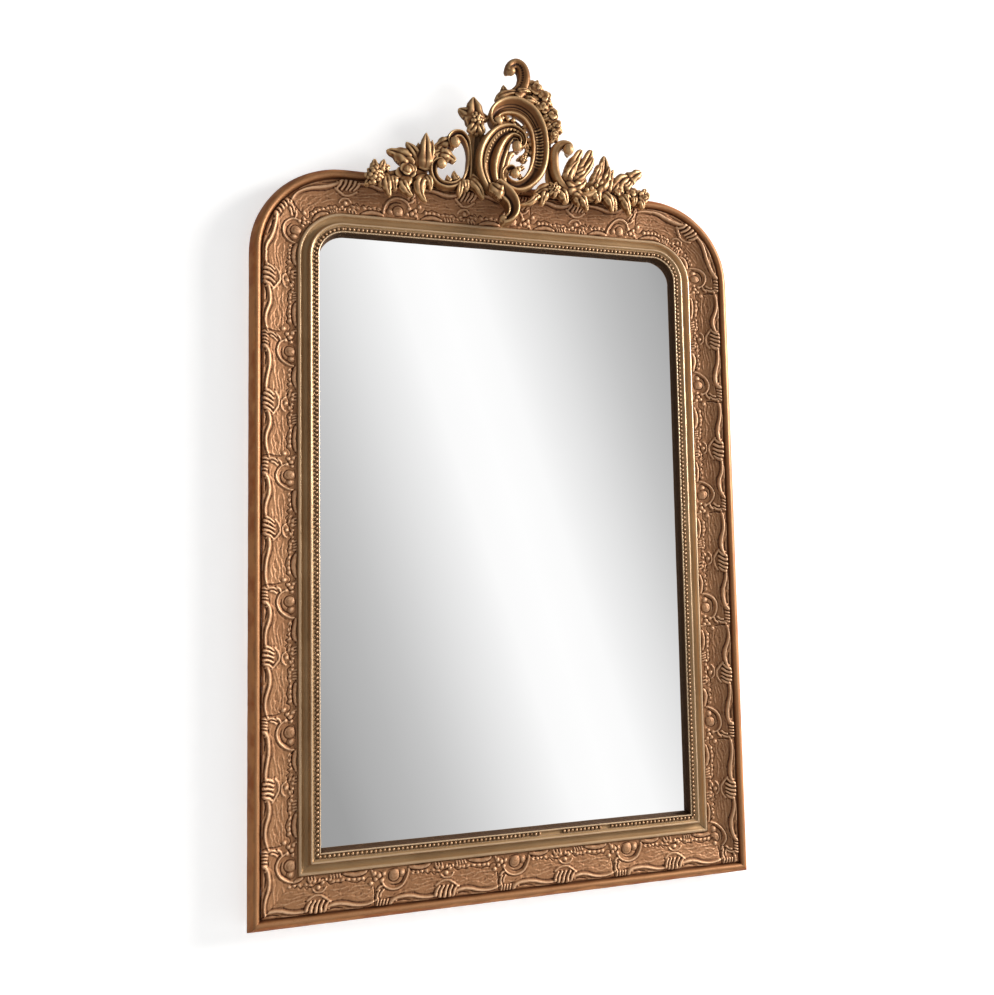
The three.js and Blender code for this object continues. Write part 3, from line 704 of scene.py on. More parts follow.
moulded = 0
for layer, (section, material, slot_name) in LAYERS.items():
    line, depth = hollows_of(section)
    for number, run in enumerate(RUNS):
        piece = start_section(run, section, f"{run}_{layer}_surface")
        draw_along(piece, run)
        cut_mitres(piece, run)
        if not run.endswith("corner"):
            subdivide_length(piece, LENGTH_STEP)
        if run == "top_rail" and layer == "outer_moulding":
            let_in(piece)
        outward(piece)
        table = points_of(piece)
        out = outwards_of(run, table)
        away = np.hypot(out[:, None] - line[:, 0], -table[:, 1:2] / MM - line[:, 1])
        # The section's hollows give toning and painted shade, its ridges rubbing and a painted highlight.
        store(piece, "hollow", depth[np.argmin(away, axis=1)])
        store(piece, "outwards", out)
        age_moulding(piece, 10 * len(layer) + number)
        smooth(piece, 50)
        finished(piece, "frame", slot_name, material, f"{run}_{layer}")
        moulded += len(piece.data.polygons)
print("plain mouldings:", moulded, "faces")

# %% [markdown]
# ## Pearls
# About 440 pearls lie in the trough next to the glass. They were pressed in strips, so all are
# alike and touch their neighbours. One pearl is modelled and copied along each run. On the
# bottom rail time has been at work: one stretch is lost, in another the pearls sit lower, as
# under later filler, and a third, once patched, shows the plain trough.

# %% Pearls
PEARL_OUTWARDS = 6.0
PEARL_RADIUS = 3.3
PEARL_PITCH = 8.2
PEARL_HEIGHT = 32.7
LOST_PEARLS = (50, 88)
FILLED_PEARLS = (20, 34)
PATCHED_PEARLS = (176, 187)


def one_pearl():
    deselect()
    bpy.ops.mesh.primitive_uv_sphere_add(segments=8, ring_count=6, radius=1)
    pearl = named("pearl")
    table = points_of(pearl)[:, [0, 2, 1]] * (1, -1, 1)
    faces = [face.vertices[:] for face in pearl.data.polygons]
    bpy.data.objects.remove(pearl)
    return table, faces


def copies(name, table, faces, places, sizes):
    """One mesh that holds a copy of a small shape at each place."""
    count = len(table)
    tables = [table * size * MM + place for place, size in zip(places, sizes)]
    shifted = [tuple(corner + i * count for corner in face) for i in range(len(places)) for face in faces]
    mesh = bpy.data.meshes.new(name)
    mesh.from_pydata(np.vstack(tables).tolist(), [], shifted)
    piece = bpy.data.objects.new(name, mesh)
    bpy.context.scene.collection.objects.link(piece)
    return piece


def pearl_places(run):
    side = -1 if "left" in run else 1
    half = HALF_HEIGHT + PEARL_OUTWARDS
    if run.endswith("stile"):
        z = np.arange(-half + PEARL_PITCH / 2, CORNER_Z, PEARL_PITCH)
        return np.stack([np.full_like(z, side * (HALF_WIDTH + PEARL_OUTWARDS)), z], -1)
    if run.endswith("rail"):
        reach = CORNER_X if run == "top_rail" else HALF_WIDTH + PEARL_OUTWARDS - PEARL_PITCH / 2
        x = np.linspace(-reach, reach, int(2 * reach / PEARL_PITCH) + 1)
        return np.stack([x, np.full_like(x, half if run == "top_rail" else -half)], -1)
    radius = SIGHT_RADIUS + PEARL_OUTWARDS
    count = int(radius * math.pi / 2 / PEARL_PITCH)
    turn = (np.arange(count) + 0.5) * math.pi / 2 / count
    return np.stack([side * (CORNER_X + radius * np.cos(turn)), CORNER_Z + radius * np.sin(turn)], -1)


def within(x, stretch):
    return (x > stretch[0]) & (x < stretch[1])


pearl_table, pearl_faces = one_pearl()
chance = np.random.default_rng(7)
pearls = 0
for run in RUNS:
    places = pearl_places(run)
    sizes = PEARL_RADIUS * chance.uniform(0.95, 1.05, len(places))
    depth = PEARL_HEIGHT + chance.uniform(-0.25, 0.25, len(places))
    if run == "bottom_rail":
        x = places[:, 0]
        kept = ~within(x, LOST_PEARLS) & ~within(x, PATCHED_PEARLS)
        depth = np.where(within(x, FILLED_PEARLS), depth - 1.6, depth)
        places, sizes, depth = places[kept], sizes[kept], depth[kept]
    where = spots(places[:, 0], places[:, 1], depth)
    piece = copies(f"{run}_pearls", pearl_table, pearl_faces, where, sizes)
    rise = -points_of(piece)[:, 1] / MM
    # Each pearl darkens towards its foot in the trough and pales on its crown: painted shade below, rubbing and a
    # painted highlight on top.
    store(piece, "hollow", np.interp(rise, [29.5, 32.5, 34.4, 36.0], [1.3, 0.7, 0.1, -0.3]))
    smooth(piece, 80)
    finished(piece, "frame", "pearl_gilt", PEARL_GILT)
    pearls += len(places)
print("pearls:", pearls)

# %% [markdown]
# ## The relief of the ornament band
# The band is pressed from one mould, 232 mm long, again and again round the frame. One length
# holds two waves that roll along the outer edge, a palmette of plump hooks, a comb of teeth, a
# rosette under an arch, and leaves with a scalloped edge next to the cove. The mould is drawn
# as strokes on a small map of heights: ridges are added, and then fine grooves are cut where a
# carver's veiner would run. Soft forms with narrow dark lines are what old pressed ornament
# looks like, so the ridges are broad and the grooves thin.

# %% Draw one length of the mould
PERIOD = 232
BAND_WIDTH = BAND_OUTER - BAND_INNER
MAP_STEP = 0.5
map_along, map_across = np.meshgrid(
    np.arange(0, PERIOD, MAP_STEP), np.arange(0, BAND_WIDTH + MAP_STEP, MAP_STEP), indexing="ij"
)
ridges = np.zeros_like(map_along)
grooves = np.zeros_like(map_along)


def capsule(table, start, end, radius, height):
    """One short rounded piece of a stroke, pressed into a map where it is the highest."""
    low = np.minimum(start, end) - radius
    high = np.maximum(start, end) + radius
    if high[0] < 0 or low[0] > PERIOD:
        return
    rows = slice(max(int(low[0] / MAP_STEP), 0), int(high[0] / MAP_STEP) + 2)
    columns = slice(max(int(low[1] / MAP_STEP), 0), max(int(high[1] / MAP_STEP), 0) + 2)
    x = map_along[rows, columns] - start[0]
    y = map_across[rows, columns] - start[1]
    dx, dy = end - start
    share = np.clip((x * dx + y * dy) / (dx * dx + dy * dy + 1e-9), 0, 1)
    away = np.hypot(x - share * dx, y - share * dy) / radius
    table[rows, columns] = np.maximum(table[rows, columns], height * np.clip(1 - away**2, 0, 1) ** 0.7)


def draw(table, points, width, height, thin_start=0.0, thin_end=0.0):
    """A stroke through points of (along the band, outwards from the glass)."""
    line = smooth_path(points, 2.0) if len(points) > 2 else np.asarray(points, dtype=float)
    line = line - (0, BAND_INNER)
    shares = along_path(line) / along_path(line)[-1]
    for shift in (-PERIOD, 0, PERIOD):
        for start, end, share in zip(line, line[1:], shares):
            size = 1 - thin_start * (1 - share) ** 2 - thin_end * share**2
            capsule(table, start + (shift, 0), end + (shift, 0), width * size / 2, height * (0.4 + 0.6 * size))


def ridge(points, width, height, thin_start=0.0, thin_end=0.0):
    draw(ridges, points, width, height, thin_start, thin_end)


def groove(points, width=2.0, depth=1.4, thin=0.6):
    draw(grooves, points, width, depth, thin, thin)


def boss(along, outwards, radius, height):
    ridge([(along - 0.1, outwards), (along + 0.1, outwards)], 2 * radius, height)


def bow(along, outwards, radius, first, last):
    """Points of a round bow. 0 degrees points along the band and 90 to its outer edge."""
    angles = np.radians(np.linspace(first, last, max(4, int(abs(last - first) / 25))))
    return [(along + radius * math.cos(a), outwards + radius * math.sin(a)) for a in angles]


OUTER_WAVE = [(7, 99), (10, 94.5), (17, 91), (30, 89), (44, 90), (57, 93.5), (70, 96), (84, 96), (97, 93), (105, 90)]
WAVE_SHIFTS = (0, 122)
UNDER_WAVE = [(22, 85), (34, 83.5), (46, 85), (60, 89.5), (74, 91.5), (90, 90.5)]
HOOKS = [
    [(-23, 95), (-20, 88), (-15, 82)], [(-16, 98), (-14, 90), (-8, 82)], [(-8, 99), (-6, 91), (-1, 82)],
    [(1, 99), (2, 91), (8, 82)], [(9, 97), (11, 90), (17, 84)],
]
SMALL_HOOKS = [[(103, 88), (104, 82), (108, 77)], [(109, 87), (111, 81), (115, 77)], [(104, 76), (108, 71), (114, 69)]]
SCALLOPS = [
    (-28, 52), (-20, 58), (-12, 59), (-5, 55), (2, 54), (10, 50), (17, 53), (22, 58), (31, 56), (38, 58), (46, 55),
    (56, 59), (66, 61), (74, 58), (80, 60), (86, 54), (93, 53), (98, 58),
]
MORE_SCALLOPS = [
    (166, 50), (175, 55), (183, 53), (189, 58), (193, 54), (199, 60), (204, 55), (210, 62), (215, 57), (221, 61),
]
FEATHER_ROOTS = [
    (22, 64, 30), (30, 69, 26), (24, 75, 24), (40, 73, 30), (34, 79, 22), (52, 66, 24), (56, 78, 22), (60, 71, 20),
    (66, 83, 20), (70, 66, 20), (74, 76, 18), (82, 70, 14), (84, 82, 14), (168, 64, 24), (172, 71, 26),
    (166, 79, 22), (180, 76, 26), (188, 66, 24), (194, 83, 24), (196, 71, 20), (204, 78, 20), (208, 66, 20),
    (-26, 66, 26), (-22, 74, 20), (-14, 69, 24), (-2, 64, 18), (0, 74, 20), (118, 84, 22), (140, 82, 24), (150, 80, 20),
]


def draw_waves():
    for shift in WAVE_SHIFTS:
        ridge([(a + shift, u) for a, u in OUTER_WAVE], 7.0, 3.4, 0.0, 0.5)
        ridge([(a + shift, u) for a, u in bow(13, 98, 3.6, 160, 330)], 3.4, 2.6)
        groove([(17 + shift, 97.5), (27 + shift, 96), (40 + shift, 97.5)], 5.5, 2.4)
        groove([(a + shift, u) for a, u in UNDER_WAVE], 2.2, 1.5)
        ridge([(46 + shift, 100), (58 + shift, 101), (74 + shift, 101.5)], 2.6, 1.6)


def draw_palmette():
    for hook in HOOKS:
        ridge(hook, 6.4, 4.0, -0.1, 0.45)
    for hook in HOOKS[1:]:
        groove([(a - 3.6, u) for a, u in hook], 2.2, 1.8)
    ridge([(-20, 80), (-12, 74), (-4, 72), (4, 73), (12, 78), (20, 84)], 5.0, 2.4)
    groove([(-16, 76), (-8, 70), (2, 69), (12, 73), (20, 79)], 2.0, 1.4)
    ridge([(-12, 60), (-7, 66), (1, 68), (9, 66), (14, 61)], 5.0, 2.6, 0.4, 0.4)
    boss(0, 60, 4.4, 2.4)
    for a, u, size in ((8, 52, 4.6), (2, 49, 3.2), (14, 50, 3.4), (-8, 50, 4.0), (-16, 49, 3.6), (22, 50, 3.0)):
        boss(a, u, size, 2.6)
    groove(bow(8, 52, 5.6, -200, 20), 2.2, 2.2)
    groove([(-24, 48), (-14, 53), (-4, 51), (1, 46)], 1.8, 1.6)


def draw_comb():
    groove([(98.5, 101), (97.5, 90), (98.5, 79), (97, 70)], 3.6, 2.8)
    for a in (103, 109, 115, 121, 127):
        ridge([(a, 101), (a + 0.6, 97), (a + 2.4, 93)], 4.0, 3.0, 0.0, 0.4)
        groove([(a + 3, 101), (a + 3.6, 96)], 1.8, 1.8)
    for hook in SMALL_HOOKS:
        ridge(hook, 5.0, 2.9, 0.0, 0.4)
        groove([(a - 2.8, u - 1) for a, u in hook], 2.0, 1.5)
    groove([(114, 91), (122, 91.5), (130, 89), (136, 84)], 2.2, 1.8)
    for a, u, size in ((92, 64, 4.4), (101, 57, 4.4), (107, 52, 4.8), (99, 48, 4.2), (112, 60, 3.8), (115, 50, 3.6)):
        boss(a, u, size, 2.9)
    groove([(94, 58), (100, 62), (106, 58), (112, 54), (110, 47), (104, 44)], 2.0, 1.9)


def draw_rosette():
    ridge([(112, 62), (117, 70), (127, 75.5), (138, 76), (149, 71), (157, 62), (161, 53), (162, 46)], 5.4, 3.3, 0.4, 0.4)
    groove([(127, 68.5), (134, 70), (143, 68.5), (150, 63), (153, 57)], 4.0, 2.6)
    groove([(112, 69), (119, 76), (131, 80), (144, 78), (156, 71), (164, 60), (166, 50)], 1.8, 1.3)
    boss(133, 54, 10, 3.6)
    groove(bow(133, 54, 10.5, -30, 215), 2.4, 2.2)
    groove(bow(132, 54, 5.6, -20, 190), 1.6, 1.0)
    groove([(129, 50), (135, 53), (139, 49)], 1.5, 0.9)
    boss(148, 52, 6.4, 2.8)
    groove(bow(148, 52, 4.2, -150, 200), 1.6, 1.6)
    groove(bow(148, 52, 7.6, -60, 130), 2.0, 1.9)
    groove([(119, 50), (123, 46), (134, 43.5), (146, 43)], 2.2, 1.8)


def draw_inner_edge():
    for start, middle, end in ((43, 65, 90), (161, 184, 205)):
        ridge([(start + 4, 43), (middle, 46), (end - 6, 43)], 8.0, 2.4)
        groove([(start, 45), (start + 8, 49.5), (middle, 51.2), (end - 12, 49.5), (end, 42.5)], 2.6, 2.2, 0.3)
    groove(SCALLOPS, 2.4, 2.0, 0.2)
    groove(MORE_SCALLOPS, 2.4, 2.0, 0.2)
    for a in (27, 34, 42, 51, 61, 70, 78, 171, 180, 187, 196, 207, 217):
        boss(a, 54.2, 3.8, 1.8)
    for a in (22, 27, 32, 37, 95, 212, 218, 224):
        ridge([(a, 42), (a + 1.5, 48)], 3.6, 2.0)


def draw_feathers():
    """Long shallow veins in the smooth middle, bowed like the barbs of a feather."""
    for a, u, reach in FEATHER_ROOTS:
        bend = 2.6 * math.sin(a * 0.7)
        groove([(a, u), (a + reach * 0.5, u + bend), (a + reach, u - 1.5)], 2.0, 0.9, 0.7)
        ridge([(a, u + 2.6), (a + reach * 0.5, u + 2.6 + bend), (a + reach, u + 1)], 3.4, 1.0, 0.5, 0.5)


draw_waves()
draw_palmette()
draw_comb()
draw_rosette()
draw_inner_edge()
draw_feathers()
print("relief map:", ridges.shape, "ridges to", round(ridges.max(), 1), "mm, grooves to", round(grooves.max(), 1), "mm")

# %% [markdown]
# ## The ornament band's surface
# The height map becomes real geometry. Each run starts as a flat grid primitive with a point
# about every millimetre. The points are laid along the run and across the band, lifted to the
# band's own swelling section, and raised by the map. The grid's edge is then extruded back to
# the wood and closed, which makes a solid strip of composition.

# %% Lay the band along the frame
BAND_SECTION = np.array([
    [41.4, 22.0], [50.0, 22.3], [59.0, 23.4], [69.0, 25.3], [79.0, 28.2], [89.0, 31.9], [96.0, 34.3],
    [99.0, 34.6], [101.0, 33.6], [102.9, 32.0],
])
BAND_STEP = 0.95
RIGHT_PHASE = 60
TOP_PHASE = 150


MIDDLE_OUT = (BAND_INNER + BAND_OUTER) / 2
CORNER_LENGTH = (SIGHT_RADIUS + MIDDLE_OUT) * math.pi / 2


def band_length(run):
    if run.endswith("corner"):
        return CORNER_LENGTH
    return {"top_rail": 2 * CORNER_X, "bottom_rail": 2 * HALF_WIDTH + 2 * BAND_OUTER}.get(
        run, CORNER_Z + HALF_HEIGHT + BAND_OUTER
    )


def band_map(run, share, out):
    """Place (x, z) and mould length for a share of the run and a distance outwards."""
    if run == "left_stile":
        z = CORNER_Z + (-HALF_HEIGHT - out - CORNER_Z) * share
        return -HALF_WIDTH - out, z, 9 - z
    if run == "bottom_rail":
        x = (HALF_WIDTH + out) * (2 * share - 1)
        return x, np.full_like(x, 0) - HALF_HEIGHT - out, 136 + x
    if run == "right_stile":
        z = -HALF_HEIGHT - out + (CORNER_Z + HALF_HEIGHT + out) * share
        return HALF_WIDTH + out, z, z + RIGHT_PHASE
    if run == "top_rail":
        x = CORNER_X * (1 - 2 * share)
        return x, np.full_like(x, 0) + HALF_HEIGHT + out, TOP_PHASE - x
    turn = share * math.pi / 2
    radius = SIGHT_RADIUS + out
    if run == "top_right_corner":
        along = CORNER_Z + RIGHT_PHASE + share * CORNER_LENGTH
        return CORNER_X + radius * np.cos(turn), CORNER_Z + radius * np.sin(turn), along
    along = TOP_PHASE + CORNER_X + share * CORNER_LENGTH
    return -CORNER_X - radius * np.sin(turn), CORNER_Z + radius * np.cos(turn), along


def wander(x, z):
    """A slow drift of the pattern, so that no two pressings sit alike."""
    return np.sin(x / 13 + z / 29) + np.sin(z / 17 - x / 31 + 2), np.sin(z / 23 + 1) + np.sin(x / 19 + z / 11)


def band_surface(run):
    rows = int(band_length(run) / BAND_STEP)
    columns = int(BAND_WIDTH / BAND_STEP)
    deselect()
    bpy.ops.mesh.primitive_grid_add(x_subdivisions=rows, y_subdivisions=columns, size=2)
    piece = named(f"{run}_ornament")
    flat = points_of(piece)
    share = (flat[:, 0] + 1) / 2
    across = (flat[:, 1] + 1) / 2 * BAND_WIDTH
    x, z, along = band_map(run, share, BAND_INNER + across)
    x, z = np.broadcast_arrays(x, z)
    height = np.interp(BAND_INNER + across, BAND_SECTION[:, 0], BAND_SECTION[:, 1])
    drift_along, drift_across = wander(x, z)
    along = along + 1.2 * drift_along
    across = across + 0.8 * drift_across * between(np.minimum(across, BAND_WIDTH - across), 0, 8)
    height = height + sample_map(relief, along, across)
    move_points(piece, spots(x, z, height))
    hollow = sample_map(hollow_map, along, across)
    store(piece, "hollow", hollow)
    close_back(piece)
    return piece


def close_back(piece):
    """Extrudes the edge of the surface back to the wood and fills the flat back."""
    edit(piece, "EDGE")
    bpy.ops.mesh.select_non_manifold()
    bpy.ops.mesh.extrude_region_move()
    object_mode()
    table = points_of(piece)
    chosen = np.zeros(len(table), dtype=bool)
    piece.data.vertices.foreach_get("select", chosen)
    table[chosen, 1] = -CORE_FRONT * MM
    move_points(piece, table)
    bpy.ops.object.mode_set(mode="EDIT")
    bpy.ops.mesh.edge_face_add()
    object_mode()
    outward(piece)


# %% Blur the map to find its hollows
def blurred(table, rounds):
    """Averages each value with its neighbours, again and again."""
    for _ in range(rounds):
        table = (np.roll(table, 1, 0) + np.roll(table, -1, 0) + 2 * table) / 4
        edges = np.pad(table, ((0, 0), (1, 1)), mode="edge")
        table = (edges[:, :-2] + edges[:, 2:] + 2 * edges[:, 1:-1]) / 4
    return table


def sample_map(table, along, across):
    """Reads a map between its points, going round where it repeats."""
    row = (along / MAP_STEP) % table.shape[0]
    column = np.clip(across / MAP_STEP, 0, table.shape[1] - 1.001)
    r0 = np.floor(row).astype(int) % table.shape[0]
    c0 = np.floor(column).astype(int)
    r1 = (r0 + 1) % table.shape[0]
    row_share, column_share = row - np.floor(row), column - c0
    near = table[r0, c0] * (1 - column_share) + table[r0, c0 + 1] * column_share
    far = table[r1, c0] * (1 - column_share) + table[r1, c0 + 1] * column_share
    return near * (1 - row_share) + far * row_share


chance = np.random.default_rng(21)
lumps = blurred(chance.normal(size=ridges.shape), 40)
veins = blurred(np.repeat(chance.normal(size=(ridges.shape[0] // 2, ridges.shape[1])), 2, axis=0), 22)
veins = between(0.2 - np.abs(veins) / veins.std(), 0, 0.2) * between(2.6 - ridges, 0, 2.0)
relief = blurred(1.2 + ridges - grooves - 0.85 * veins + 0.16 * lumps / lumps.std(), 3)
# Hollows of the relief: toning and painted shade in its recesses, rubbing and a painted highlight on its ridges.
hollow_map = 0.8 * (blurred(relief, 16) - relief) + 0.3 * (blurred(relief, 80) - relief)
print("hollows from", round(hollow_map.min(), 2), "to", round(hollow_map.max(), 2), "mm")

# %% Make the six lengths
band_faces = 0
for run in RUNS:
    piece = band_surface(run)
    smooth(piece, 75)
    finished(piece, "frame", "band_gilt", BAND_GILT, f"{run}_ornament_band")
    band_faces += len(piece.data.polygons)
print("ornament band:", band_faces, "faces")

# %% [markdown]
# ## Shapes of the crest
# The crest is built from a few kinds of shape: scrolls, leaves, petals and berries. All of them
# start as a ball primitive, like a lump of composition that is rolled out. A ball's points lie
# on rings from one pole to the other. Each ring becomes one section of a scroll or leaf, and
# the poles close its ends, so every shape is a closed solid from the start.

# %% Roll out a ball
def ball(rings, segments):
    """A ball primitive with each point's share from pole to pole and share of a turn."""
    deselect()
    bpy.ops.mesh.primitive_uv_sphere_add(segments=segments, ring_count=rings, radius=1)
    piece = named("ball")
    table = points_of(piece)
    ring = np.arccos(np.clip(table[:, 2], -1, 1)) / math.pi
    turn = np.arctan2(table[:, 1], table[:, 0]) / (2 * math.pi) % 1
    return piece, ring, turn


FRONT_SHARE = 0.72


def round_section(turn, profile):
    """Splits a turn into the carved front, from one edge to the other, and the plain back.
    Gives the place across, -1 to 1, and the level, 0 at the back and 1 at the front."""
    front = turn < FRONT_SHARE
    across_front = 1 - 2 * turn / FRONT_SHARE
    back = np.clip((turn - FRONT_SHARE) / (1 - FRONT_SHARE), 0, 1)
    across_back = -0.86 * np.cos(back * math.pi)
    across = np.where(front, across_front, across_back)
    level = np.where(front, np.interp(across_front, profile[:, 0], profile[:, 1]), 0.0)
    return across, level, front


def profile(*points):
    """A carved section from edge to edge, as [across, level] points with a smooth line."""
    line = smooth_path(points, 0.04)
    return line[np.argsort(line[:, 0])]


PLAIN = profile((-1, 0.35), (-0.9, 0.68), (-0.6, 0.93), (0, 1.0), (0.6, 0.93), (0.9, 0.68), (1, 0.35))
CHANNEL = profile(
    (-1, 0.36), (-0.93, 0.7), (-0.8, 0.93), (-0.62, 1.0), (-0.44, 0.9), (-0.24, 0.7), (0, 0.6), (0.22, 0.68),
    (0.44, 0.86), (0.62, 0.94), (0.8, 0.88), (0.93, 0.68), (1, 0.36),
)


def scroll(path, front, back=CREST_BACK, section=CHANNEL, start_rise=0.0, end_rise=0.0, dish=None, step=1.6):
    """A ribbon along [x, z, width] points. Narrow stretches turn from the carved section into a
    plain round one. The rises lift the front towards either end, as a curl rolls forward."""
    line = smooth_path(path, step)
    count = len(line) - 1
    piece, ring, turn = ball(count, 56)
    share = ring * count
    place = [np.interp(share, np.arange(count + 1), line[:, i]) for i in range(3)]
    direction = np.gradient(line[:, :2], axis=0)
    direction /= np.linalg.norm(direction, axis=1)[:, None]
    along_x = np.interp(share, np.arange(count + 1), direction[:, 0])
    along_z = np.interp(share, np.arange(count + 1), direction[:, 1])
    width = place[2] * np.sqrt(np.clip(np.minimum(share, count - share) / 1.5, 0, 1))
    plain_across, plain_level, on_front = round_section(turn, PLAIN)
    level = round_section(turn, section)[1]
    carved = between(width, 9, 20)
    level = plain_level + (level - plain_level) * carved
    t = ring
    rise = start_rise * between(0.22 - t, 0, 0.22) + end_rise * between(t - 0.78, 0, 0.22)
    top = front + rise - np.clip(14 - width, 0, 8) * 0.5
    height = back + (top - back) * level
    if dish is not None:
        height += np.where(on_front, dish(plain_across, share * step, width, t), 0.0) * carved
    x = place[0] - along_z * plain_across * width / 2
    z = place[1] + along_x * plain_across * width / 2
    move_points(piece, spots(x, z, height))
    return piece


def leaf(foot_x, foot_z, tip_x, tip_z, width, bend, front, back=CREST_BACK, lobes=3, droop=4.0, blunt=0.0):
    """A carved leaf from foot to tip: two plump halves with a vein between them. Bend bows it
    to its left. Lobes notch its edges, and droop lowers the tip towards the wall."""
    piece, ring, turn = ball(32, 36)
    length = math.hypot(tip_x - foot_x, tip_z - foot_z)
    ux, uz = (tip_x - foot_x) / length, (tip_z - foot_z) / length
    bow = 4 * bend * length * ring * (1 - ring)
    slope = 4 * bend * (1 - 2 * ring)
    swell = np.sin(math.pi * np.clip(ring, 0, 1) ** 0.78) ** (0.72 - 0.4 * blunt) + 0.3 * (1 - ring) ** 2
    swell *= np.sqrt(np.clip(ring / 0.06, 0, 1))
    across, _, on_front = round_section(turn, PLAIN)
    notch = 1 - 0.24 * np.abs(np.sin(math.pi * lobes * ring)) ** 6 * between(ring, 0.15, 0.35)
    half = 0.57 * width * swell * notch
    crown = front - droop * between(ring, 0.45, 1.0) - 5 * (1 - between(ring, 0.0, 0.25))
    away = np.abs(across)
    plump = 0.11 * width * between(ring, 0.02, 0.25) * (0.35 + 0.65 * between(1 - ring, 0.0, 0.4))
    ribs = 0.35 * plump * np.cos(2 * math.pi * (lobes * ring + 0.5 * away))
    top = crown + plump * np.sin(math.pi * away**0.8) - 4.2 * away**3 + ribs * between(1 - away, 0, 0.4)
    under = np.maximum(back, crown - 8 - 14 * (1 - ring) ** 0.6)
    height = np.where(on_front, top, under)
    height = np.where(ring > 0.995, crown - 2, height)
    px = foot_x + ux * length * ring - uz * (bow + half * across)
    pz = foot_z + uz * length * ring + ux * (bow + half * across)
    px -= ux * slope * half * across * 0.6
    pz -= uz * slope * half * across * 0.6
    move_points(piece, spots(px, pz, height))
    return piece


def berry(x, z, height, radius, squash=1.0):
    piece, _, _ = ball(10, 14)
    table = points_of(piece)
    move_points(piece, spots(x + radius * table[:, 0], z + radius * table[:, 2], height - radius * squash * table[:, 1]))
    return piece


def petal(x, z, height, turn, reach, size, tilt):
    """A plump petal whose foot is near (x, z). Turn is its direction and tilt lifts its tip."""
    piece, _, _ = ball(10, 14)
    table = points_of(piece)
    a = table[:, 0] * size * 0.56
    b = table[:, 2] * size * 0.48
    thick = table[:, 1] * 0.26 * size
    along = reach + b
    rise = height + tilt * (b / size + 0.5) + 0.35 * (a**2 + b**2) / size - thick
    c, s = math.cos(turn), math.sin(turn)
    move_points(piece, spots(x + along * c - a * s, z + along * s + a * c, rise))
    return piece


def rose(x, z, radius, front, petals=5, start=0.0, bowl=0.0):
    """Overlapping petals round a bud, no two alike. Bowl sinks the middle and lifts the rim."""
    chance = np.random.default_rng(int(abs(10 * x) + abs(z)))
    parts = []
    for place, count, size, sink, tilt in ((0.64, petals + 1, 0.8, 0.62, 1.5), (0.3, 3, 0.7, 0.36, 0.5)):
        for i in range(count):
            turn = start + (i + chance.uniform(-0.35, 0.35)) * 2 * math.pi / count
            reach = radius * place * chance.uniform(0.75, 1.2)
            level = front - radius * sink * chance.uniform(0.85, 1.15) - bowl * (1 - place)
            wide = radius * size * chance.uniform(0.8, 1.25)
            parts.append(petal(x, z, level, turn, reach, wide, tilt + bowl + chance.uniform(-2.5, 2.5)))
    aside = radius * chance.uniform(-0.2, 0.2, 2)
    parts.append(petal(x + aside[0], z + aside[1], front - radius * 0.3 - bowl, start + 1, 0, radius * 0.55, 0.5))
    parts.append(berry(x, z, front - radius * 0.75 - bowl * 0.5, radius * 0.68, 0.6))
    parts.append(berry(x, z, (front + CREST_BACK) / 2 - 2, radius * 0.6, 0.9))
    return parts


def cluster(x, z, radius, front, count=14):
    """A bunch of small round fruits or a rough flower head."""
    chance = np.random.default_rng(int(abs(7 * x) + abs(z)))
    parts = [berry(x, z, front - radius * 0.85, radius * 0.84, 0.75)]
    for i in range(count):
        turn = i * 2.4 + chance.uniform(-0.3, 0.3)
        reach = radius * 0.86 * math.sqrt((i + 0.5) / count)
        dome = radius * 0.5 * (1 - (reach / radius) ** 2)
        size = radius * chance.uniform(0.2, 0.3)
        parts.append(berry(x + reach * math.cos(turn), z + reach * math.sin(turn), front - radius * 0.55 + dome, size))
    return parts


def fuse(name, parts, voxel=0.9, rounds=2):
    """Melts overlapping shapes into one skin, as a carver blends applied pieces with putty."""
    piece = join(name, parts)
    alone(piece)
    remesh = piece.modifiers.new("one skin", "REMESH")
    remesh.mode = "VOXEL"
    remesh.voxel_size = voxel * MM
    soften = piece.modifiers.new("soften", "SMOOTH")
    soften.factor = 0.5
    soften.iterations = rounds
    apply_all(piece)
    return piece


def crest_piece(name, parts, voxel=0.9, tone=0.0):
    """Fuses and finishes one piece of the crest. Tone above 0 darkens all of it."""
    piece = fuse(f"{name}_carving", parts, voxel)
    # The crest's hollows carry toning and painted shade, its ridges rubbing and a painted highlight.
    depth = mark_hollows(piece, 14)
    store(piece, "hollow", depth + tone)
    smooth(piece, 70)
    finished(piece, "frame", "crest_gilt", CREST_GILT, name)
    print(name, len(piece.data.polygons), "faces, hollows", np.round(np.percentile(depth, [5, 50, 95]), 2))
    return piece


# %% [markdown]
# ## The inner scroll
# The middle of the crest is an S: it curls forward at the right, sweeps over to the left and
# down, and runs out in a tongue over the frame. Its section is carved in steps: a bold outer
# rim, a fillet, a channel with a row of beads, a rib, and a broad hollow with a thin inner rim.

# %% Carve the inner scroll
INNER_SCROLL = [
    (17, 757, 14), (27, 767, 18), (25, 782, 22), (9, 789, 33), (-9, 781, 48), (-24, 762, 59), (-35, 736, 63),
    (-38, 708, 57), (-31, 684, 44), (-18, 668, 30),
]
INNER_SECTION = profile(
    (-1, 0.4), (-0.96, 0.72), (-0.86, 0.92), (-0.74, 1.0), (-0.62, 0.95), (-0.54, 0.82), (-0.49, 0.74),
    (-0.44, 0.82), (-0.37, 0.86), (-0.3, 0.82), (-0.22, 0.78), (-0.12, 0.7), (-0.02, 0.67), (0.08, 0.76),
    (0.2, 0.9), (0.32, 0.96), (0.44, 0.9), (0.55, 0.77), (0.64, 0.7), (0.74, 0.75), (0.84, 0.8), (0.94, 0.68),
    (1, 0.42),
)
TONGUE = [
    (-30, 680, 30), (-20, 672, 34), (-6, 662, 33), (5, 648, 29), (8, 632, 26), (3, 618, 22), (-7, 610, 17), (-16, 608, 12),
]
